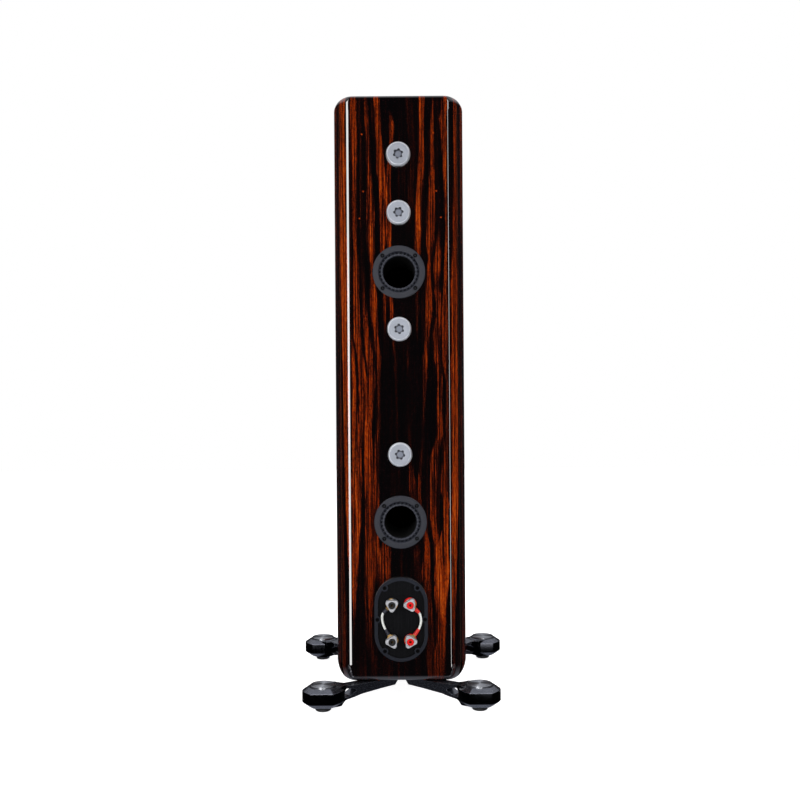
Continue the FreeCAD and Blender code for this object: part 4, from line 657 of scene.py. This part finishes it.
FINISHES = {
    "veneer": ebony_veneer(),
    "raw_board": board_fibre(),
    "wadding_felt": woven("wadding_felt", (0.5, 0.5, 0.47), 300.0),
    "frame_casting": moulded("frame_casting", (0.03, 0.03, 0.033), 0.4, 0.6),
    "motor_steel": moulded("motor_steel", (0.05, 0.05, 0.055), 0.3, 0.5, metallic=0.6),
    "cone_alloy": drive_cone(),
    "coil_wire": brushed_metal("coil_wire", (0.55, 0.24, 0.1), (200.0, 3000.0, 3000.0), 0.35, 0.9),
    "surround_rubber": moulded("surround_rubber", (0.014, 0.014, 0.015), 0.5, 0.7),
    "spider_cloth": woven("spider_cloth", (0.5, 0.34, 0.12), 700.0),
    "trim_alloy": turned_metal("trim_alloy", (0.2, 0.2, 0.21), "Y", 0.32),
    "tweeter_facing": moulded("tweeter_facing", (0.045, 0.045, 0.05), 0.35, 0.5),
    "tweeter_mesh": brushed_metal("tweeter_mesh", (0.12, 0.12, 0.125), (2500.0, 100.0, 400.0), 0.4, 0.8),
    "tweeter_foil": pleated_film(),
    "bolt_steel": bolt_face(),
    "seal_rubber": moulded("seal_rubber", (0.012, 0.012, 0.012), 0.6, 0.8),
    "port_plastic": port_moulding(),
    "black_screws": moulded("black_screws", (0.002, 0.002, 0.0025), 0.5, 0.7, Specular_IOR_Level=0.02),
    "plate_alloy": terminal_facing(),
    "stud_brass": turned_metal("stud_brass", (0.34, 0.20, 0.05), "Y", 0.34, 900.0, 0.25, 0.5),
    "insulator_black": moulded("insulator_black", (0.0055, 0.0055, 0.006), 0.25, 0.38,
                               Specular_IOR_Level=0.25),
    "insulator_red": moulded("insulator_red", (0.78, 0.003, 0.0025), 0.34, 0.46, Specular_IOR_Level=0.2),
    "post_silver": brushed_metal("post_silver", (0.44, 0.445, 0.47), (900.0, 900.0, 900.0), 0.34, 0.45, 0.1),
    "link_sleeve": sleeve_white(),
    "spade_gold": brushed_metal("spade_gold", (0.34, 0.20, 0.05), (900.0, 900.0, 900.0), 0.34, 0.5, 0.1),
    "boot_black": moulded("boot_black", (0.014, 0.015, 0.026), 0.34, 0.48, Specular_IOR_Level=0.4),
    "boot_red": moulded("boot_red", (0.70, 0.03, 0.022), 0.38, 0.5, Specular_IOR_Level=0.25),
    "board_laminate": moulded("board_laminate", (0.02, 0.10, 0.045), 0.35, 0.5),
    "capacitor_sleeve": moulded("capacitor_sleeve", (0.06, 0.07, 0.16), 0.25, 0.35),
    "resistor_ceramic": moulded("resistor_ceramic", (0.7, 0.68, 0.62), 0.6, 0.8),
    "board_brass": turned_metal("board_brass", (0.7, 0.52, 0.24), "Z", 0.3),
    "outrigger_alloy": milled_alloy(),
    "knob_alloy": knob_face(),
    "pad_rubber": moulded("pad_rubber", (0.012, 0.012, 0.012), 0.55, 0.75),
}


# ------------------------------------------------------------- mesh helpers
WELD = 1e-6
FLAT_TURN = math.radians(0.4)    # faces that turn less than this are one flat


def solids_of(node):
    """A CAD node's solids as welded meshes, lowest first, each about its own middle."""
    whole = bmesh.new()
    whole.from_mesh(nodes[node].data)
    bmesh.ops.remove_doubles(whole, verts=whole.verts, dist=WELD)
    bmesh.ops.dissolve_limit(whole, angle_limit=FLAT_TURN, verts=whole.verts, edges=whole.edges)
    whole.verts.index_update()
    label = [-1] * len(whole.verts)
    count = 0
    for vert in whole.verts:
        if label[vert.index] >= 0:
            continue
        label[vert.index], waiting = count, [vert]
        while waiting:
            for edge in waiting.pop().link_edges:
                for other in edge.verts:
                    if label[other.index] < 0:
                        label[other.index] = count
                        waiting.append(other)
        count += 1
    found = []
    for wanted in range(count):
        part = whole.copy()
        part.verts.ensure_lookup_table()
        spare = [v for v in part.verts if label[v.index] != wanted]
        bmesh.ops.delete(part, geom=spare, context="VERTS")
        low = Vector([min(v.co[i] for v in part.verts) for i in range(3)])
        high = Vector([max(v.co[i] for v in part.verts) for i in range(3)])
        middle = (low + high) / 2
        bmesh.ops.translate(part, verts=part.verts, vec=-middle)
        found.append((part, middle))
    whole.free()
    return sorted(found, key=lambda pair: (round(pair[1].z, 5), round(pair[1].x, 5), round(pair[1].y, 5)))


def add_piece(name, mesh, place, body, slot, stands_for=()):
    """One visible piece, riding on a body and finished as its slot says."""
    piece = bpy.data.objects.new(name, mesh)
    bpy.context.scene.collection.objects.link(piece)
    piece.location = place
    mesh.materials.clear()
    mesh.materials.append(FINISHES[slot])
    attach(piece, body)
    if stands_for:
        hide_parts(*stands_for)
    return piece


def keep_faces_flat(piece):
    """Let the broad faces set the shading, so that only the rounded edges bend it."""
    weighted = piece.modifiers.new("broad_faces_lead", "WEIGHTED_NORMAL")
    weighted.mode, weighted.weight, weighted.keep_sharp = "FACE_AREA", 100, True


def soften(piece, width, angle=28.0, segments=2):
    """Round a piece's sharp edges and shade it smoothly."""
    for face in piece.data.polygons:
        face.use_smooth = True
    bevel = piece.modifiers.new("edges", "BEVEL")
    bevel.width, bevel.segments = width, segments
    bevel.limit_method, bevel.angle_limit = "ANGLE", math.radians(angle)
    bevel.use_clamp_overlap = False
    keep_faces_flat(piece)
    return piece


def softened_copies(node, body, slot, width, angle=28.0):
    """Softened pieces, one for each solid of a CAD node, that stand in for it."""
    made = []
    for count, (part, middle) in enumerate(solids_of(node), 1):
        name = node + "_piece_%d" % count
        mesh = bpy.data.meshes.new(name)
        part.to_mesh(mesh)
        part.free()
        made.append(soften(add_piece(name, mesh, middle, body, slot, (node,)), width, angle))
    return made


def spun(name, profile, segments, wave=None):
    """A closed (radius, depth) profile spun about Y; wave(turn, index, radius, depth) moves a point."""
    shape = bmesh.new()
    rings = []
    for i in range(segments):
        turn = math.tau * i / segments
        ring = []
        for index, (radius, depth) in enumerate(profile):
            if wave:
                radius, depth = wave(turn, index, radius, depth)
            ring.append(shape.verts.new((radius * math.cos(turn), depth, radius * math.sin(turn))))
        rings.append(ring)
    count = len(profile)
    for ring, after in zip(rings, rings[1:] + rings[:1]):
        for i in range(count):
            j = (i + 1) % count
            shape.faces.new((ring[i], ring[j], after[j], after[i]))
    bmesh.ops.recalc_face_normals(shape, faces=shape.faces)
    mesh = bpy.data.meshes.new(name)
    shape.to_mesh(mesh)
    shape.free()
    for face in mesh.polygons:
        face.use_smooth = True
    return mesh


# ------------------------------------------------------------------- pieces
def dress_cad_nodes():
    """Every CAD node that stays takes the finish of its slot."""
    for row in frame["record"]["subparts"]:
        mesh = nodes[row["node"]].data
        mesh.materials.clear()
        mesh.materials.append(FINISHES[row["material_slot"]])


BOLT_EDGE = 0.25 * mm
OUTRIGGER_EDGE = 0.45 * mm
OUTRIGGER_TURN = 12.0        # degrees; the outriggers' facets meet at shallow angles
KNOB_EDGE = 0.2 * mm


def make_bolts():
    """The bolts, each with its origin on the front of its head."""
    head_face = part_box("tension_bolts")[0].y
    for piece in softened_copies("tension_bolts", "cabinet", "bolt_steel", BOLT_EDGE):
        piece.name = piece.name.replace("tension_bolts_piece", "tension_bolt")
        back = piece.location.y - head_face
        piece.data.transform(Matrix.Translation((0.0, back, 0.0)))
        piece.location.y = head_face


def make_feet():
    """The outriggers, each with its origin at its knob, and the knobs."""
    knobs = [name for name in nodes if name.startswith("foot_knob_")]
    hubs = [sum(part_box(name), Vector()) / 2 for name in knobs]
    for piece in softened_copies("outriggers", "cabinet", "outrigger_alloy", OUTRIGGER_EDGE, OUTRIGGER_TURN):
        piece.name = piece.name.replace("outriggers_piece", "outrigger")
        middle = piece.location.copy()
        piece.location = min(hubs, key=lambda hub: (hub.xy - middle.xy).length)
        piece.data.transform(Matrix.Translation(middle - piece.location))
    for name in knobs:
        softened_copies(name, name.replace("foot_knob", "knob"), "knob_alloy", KNOB_EDGE)


FLUTES = 30                  # round each port's flare
FLUTE_STEPS = 6              # points round one flute
FLUTE_DEPTH = 4.0 * mm
SCREW_CIRCLE = 42.0 * mm     # radius on which a flange's screws sit
SCREW_TURNS = (45, 135, 225, 315)
SCREW_CUP = 3.9 * mm
CUP_DEPTH = 1.1 * mm
PORT_EDGE = 0.12 * mm
port_low, port_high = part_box("reflex_ports")
flange_r = port_high.x
port_face = port_low.y
port_end = port_high.y
PORT_PROFILE = (             # radius, depth behind the flange's face, share of the fluting
    (48.0, 3.5, 0.0), (48.0, 0.8, 0.0), (47.6, 0.25, 0.0), (46.9, 0.0, 0.0), (38.4, 0.0, 0.0),
    (37.4, 0.25, 0.0), (36.8, 0.9, 0.0), (36.3, 2.2, 0.5), (35.6, 3.6, 1.0), (34.6, 3.4, 0.9),
    (33.4, 2.7, 0.4), (32.2, 2.2, 0.1), (31.2, 2.0, 0.2), (30.3, 2.4, 0.6), (29.6, 3.8, 0.5),
    (29.1, 6.5, 0.1), (29.0, 12.0, 0.0), (29.0, 153.5, 0.0), (31.5, 153.5, 0.0), (31.5, 30.0, 0.0),
    (38.9, 6.5, 0.0), (38.9, 3.5, 0.0))


def screw_cups():
    """A cutter for the four screws round a port, standing across the flange's face."""
    shape = bmesh.new()
    for turn in SCREW_TURNS:
        angle = math.radians(turn)
        made = bmesh.ops.create_cone(shape, cap_ends=True, segments=32, radius1=SCREW_CUP, radius2=SCREW_CUP,
                                     depth=2 * CUP_DEPTH)["verts"]
        bmesh.ops.rotate(shape, verts=made, matrix=Matrix.Rotation(math.pi / 2, 3, "X"))
        shift = Vector((SCREW_CIRCLE * math.cos(angle), 0.0, SCREW_CIRCLE * math.sin(angle)))
        bmesh.ops.translate(shape, verts=made, vec=shift)
    mesh = bpy.data.meshes.new("screw_cups")
    shape.to_mesh(mesh)
    shape.free()
    return mesh


def carved(mesh, cutter_mesh):
    """A mesh with a cutter's solids taken out of it."""
    pair = []
    for part in (mesh, cutter_mesh):
        pair.append(bpy.data.objects.new("carving", part))
        bpy.context.scene.collection.objects.link(pair[-1])
    cut = pair[0].modifiers.new("cut", "BOOLEAN")
    cut.operation, cut.solver, cut.object = "DIFFERENCE", "EXACT", pair[1]
    bpy.context.view_layer.update()
    result = bpy.data.meshes.new_from_object(pair[0].evaluated_get(bpy.context.evaluated_depsgraph_get()))
    for part in pair:
        bpy.data.objects.remove(part)
    return result


def make_ports():
    """Each port with its flange, the fluted mouth and the tube behind it."""
    scale = flange_r / (PORT_PROFILE[0][0] * mm)
    flute_share = [share for _, _, share in PORT_PROFILE]
    profile = [(radius * mm * scale, depth * mm) for radius, depth, _ in PORT_PROFILE]
    profile = [(radius, min(depth, port_end - port_face)) for radius, depth in profile]

    def fluted(turn, index, radius, depth):
        swell = (0.5 + 0.5 * math.cos(turn * FLUTES)) * flute_share[index]
        return radius, depth + FLUTE_DEPTH * (swell - flute_share[index] * 0.4)

    centres = (port_high.z - flange_r, port_low.z + flange_r)
    for label, height in zip(("upper", "lower"), centres):
        name = "reflex_port_" + label
        mesh = carved(spun(name, profile, FLUTES * FLUTE_STEPS, fluted), screw_cups())
        place = Vector((0.0, port_face, height))
        piece = add_piece(name, mesh, place, "cabinet", "port_plastic", ("reflex_ports",))
        soften(piece, PORT_EDGE, angle=40.0, segments=1)


CAP_STEPS = 12               # rings up a cap's rounded side
TOP_ROUND = (14 * mm, 12 * mm, 3 * mm)    # how far in and how far up at the sides, then at the edge
BASE_ROUND = (15 * mm, 29 * mm, 8 * mm)
RIM_SHARE = 0.9              # of the least half width: points nearer the middle are dropped
SAME_LEVEL = 1e-5


def plan_points(node, level):
    """A CAD node's upright-walled points at a height, far out from its middle, in order round it.

    On the top panel these are the rim. On the base panel they also take in part of the outriggers'
    wells, and the base cap's sides fold inwards there.
    """
    low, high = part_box(node)
    middle = (low.xy + high.xy) / 2
    rim = bmesh.new()
    rim.from_mesh(nodes[node].data)
    bmesh.ops.remove_doubles(rim, verts=rim.verts, dist=WELD)
    found = []
    for vert in rim.verts:
        steep = any(abs(face.normal.z) < 0.5 for face in vert.link_faces)
        outer = (vert.co.xy - middle).length > min(high.x, (high.y - low.y) / 2) * RIM_SHARE
        if abs(vert.co.z - level) < SAME_LEVEL and steep and outer:
            found.append(vert.co.xy.copy())
    rim.free()
    found.sort(key=lambda p: math.atan2(p.y - middle.y, p.x - middle.x))
    return found


def make_cap(node, joint, end, side_round, side_rise, edge_round):
    """An end panel lofted from the plan outline where it meets the walls to its rounded rim."""
    low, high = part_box(node)
    half_x, half_y, mid_y = high.x, (high.y - low.y) / 2, (high.y + low.y) / 2
    outline = plan_points(node, joint)
    way = 1.0 if end > joint else -1.0
    reach = abs(end - joint)
    levels = [reach - side_rise]
    for step in range(1, CAP_STEPS + 1):
        levels.append(reach - side_rise * (1.0 - math.sin(math.pi / 2 * step / CAP_STEPS)))
    shape = bmesh.new()
    rings = [[shape.verts.new((p.x, p.y, joint)) for p in outline]]
    for level in levels:
        rise = max(0.0, 1.0 - (reach - level) / side_rise)
        side_in = side_round * (1.0 - math.sqrt(max(0.0, 1.0 - rise * rise)))
        over = max(0.0, 1.0 - (reach - level) / edge_round)
        edge_in = edge_round * (1.0 - math.sqrt(max(0.0, 1.0 - over * over)))
        ring = []
        for p in outline:
            x = p.x * (1.0 - side_in / half_x)
            y = mid_y + (p.y - mid_y) * (1.0 - edge_in / half_y)
            ring.append(shape.verts.new((x, y, joint + way * level)))
        rings.append(ring)
    for ring, after in zip(rings, rings[1:]):
        for i in range(len(outline)):
            j = (i + 1) % len(outline)
            shape.faces.new((ring[i], ring[j], after[j], after[i]))
    shape.faces.new(rings[0])
    shape.faces.new(rings[-1])
    bmesh.ops.remove_doubles(shape, verts=shape.verts, dist=WELD)
    bmesh.ops.recalc_face_normals(shape, faces=shape.faces)
    name = node.replace("_panel", "_cap")
    mesh = bpy.data.meshes.new(name)
    shape.to_mesh(mesh)
    shape.free()
    for face in mesh.polygons:
        face.use_smooth = abs(face.normal.z) < 0.999
    mesh.set_sharp_from_angle(angle=math.radians(40.0))
    piece = add_piece(name, mesh, Vector(), "cabinet", "veneer", (node,))
    keep_faces_flat(piece)


def make_caps():
    """The cabinet's two ends, their corners rounded more from side to side than from back to front."""
    make_cap("top_panel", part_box("top_panel")[0].z, top_z, *TOP_ROUND)
    make_cap("base_panel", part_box("base_panel")[1].z, foot_z, *BASE_ROUND)


FLOOR_HALF = 6.0             # half the floor's width
FLOOR_GAP = 0.0005           # how far it lies under the feet
FLOOR_GLOW = 0.9             # share of white that the floor adds for the eye alone
ROOM_FILL = (0.42, 0.42, 0.43)
ROOM_DARK = (0.012, 0.012, 0.014)
ROOM_CEILING = (0.85, 0.86, 0.9)
ROOM_FLOOR = (0.36, 0.38, 0.44)


def make_stage():
    """A pale floor that keeps the shadow."""
    floor_mesh = bpy.data.meshes.new("floor")
    half, level = FLOOR_HALF, cad_low.z - FLOOR_GAP
    floor_mesh.from_pydata([(-half, -half, level), (half, -half, level), (half, half, level),
                            (-half, half, level)], [], [(0, 1, 2, 3)])
    floor = bpy.data.objects.new("floor", floor_mesh)
    bpy.context.scene.collection.objects.link(floor)
    material = bpy.data.materials.new("pale_floor")
    material.use_nodes = True
    net = Net(material.node_tree)
    paint = net.add("BsdfDiffuse", {"Color": (0.8, 0.8, 0.8, 1.0)})
    seen = net.math("MULTIPLY", net.add("LightPath").outputs["Is Camera Ray"], FLOOR_GLOW)
    glow = net.add("Emission", {"Color": (1.0, 1.0, 1.0, 1.0), "Strength": seen})
    both = net.add("AddShader")
    net.put(both.inputs[0], paint.outputs[0])
    net.put(both.inputs[1], glow.outputs[0])
    net.put(net.add("OutputMaterial").inputs["Surface"], both.outputs[0])
    floor_mesh.materials.append(material)
    floor.visible_glossy = False


def make_surround():
    """White to the eye and through openings; to gloss, a dark room with a bright ceiling and floor."""
    world = bpy.data.worlds.new("surround")
    world.use_nodes = True
    bpy.context.scene.world = world
    net = Net(world.node_tree)
    path = net.add("LightPath").outputs
    up = net.split(net.add("TexCoord").outputs["Generated"])[2]
    room = net.mix(net.span(up, 0.30, 0.62), ROOM_DARK, ROOM_CEILING)
    room = net.mix(net.span(up, -0.30, -0.55), room, ROOM_FLOOR)
    open_view = net.math("MAXIMUM", path["Is Camera Ray"], path["Is Transmission Ray"])
    soft = net.mix(path["Is Glossy Ray"], ROOM_FILL, room)
    colour = net.mix(open_view, soft, (1.0, 1.0, 1.0))
    background = net.add("Background", {"Color": colour, "Strength": 1.0})
    net.put(net.add("OutputWorld").inputs["Surface"], background.outputs[0])


def soft_box(name, place, target, width, height, radiance, shows_in="diffuse"):
    """A rectangular lamp of a given brightness, for the light it throws or for its reflection."""
    data = bpy.data.lights.new(name, "AREA")
    data.shape = "RECTANGLE"
    data.size, data.size_y = width, height
    data.energy = radiance * math.pi * width * height
    lamp = bpy.data.objects.new(name, data)
    lamp.location = place
    lamp.rotation_euler = (Vector(target) - Vector(place)).to_track_quat("-Z", "Y").to_euler()
    lamp.visible_camera = False
    lamp.visible_glossy = shows_in == "gloss"
    lamp.visible_diffuse = shows_in == "diffuse"
    bpy.context.scene.collection.objects.link(lamp)


def make_lamps():
    middle = (0.0, 0.0, 0.5)

    def around(turn, distance, height):
        """A place round the object; 0 is straight behind it, 90 its right-hand side."""
        angle = math.radians(turn)
        return (distance * math.sin(angle), -distance * math.cos(angle), height)

    soft_box("strip_left", around(-19, 2.6, 0.67), (0.0, 0.0, 0.67), 1.0, 2.5, 6.2, "gloss")
    soft_box("strip_right", around(10, 2.8, 0.66), (0.0, 0.0, 0.66), 0.34, 2.64, 6.0, "gloss")
    soft_box("key_left", around(-42, 2.6, 1.1), middle, 1.4, 2.2, 2.2)
    soft_box("key_right", around(42, 2.6, 1.1), middle, 1.4, 2.2, 2.2)
    soft_box("side_left", around(-100, 2.4, 1.0), middle, 1.2, 2.2, 2.0)
    soft_box("side_right", around(100, 2.4, 1.0), middle, 1.2, 2.2, 2.0)
    soft_box("overhead", (0.0, -0.3, 3.2), middle, 2.6, 2.2, 2.4)
    soft_box("front_left", around(-150, 2.8, 1.4), middle, 1.2, 2.0, 2.2)
    soft_box("front_right", around(150, 2.8, 1.4), middle, 1.2, 2.0, 2.2)


# -------------------------------------------------------------------- order
make_camera()
make_stage()
make_surround()
make_lamps()
dress_cad_nodes()
make_caps()
make_bolts()
make_ports()
make_feet()

scene = bpy.context.scene
scene.view_settings.view_transform = "Standard"
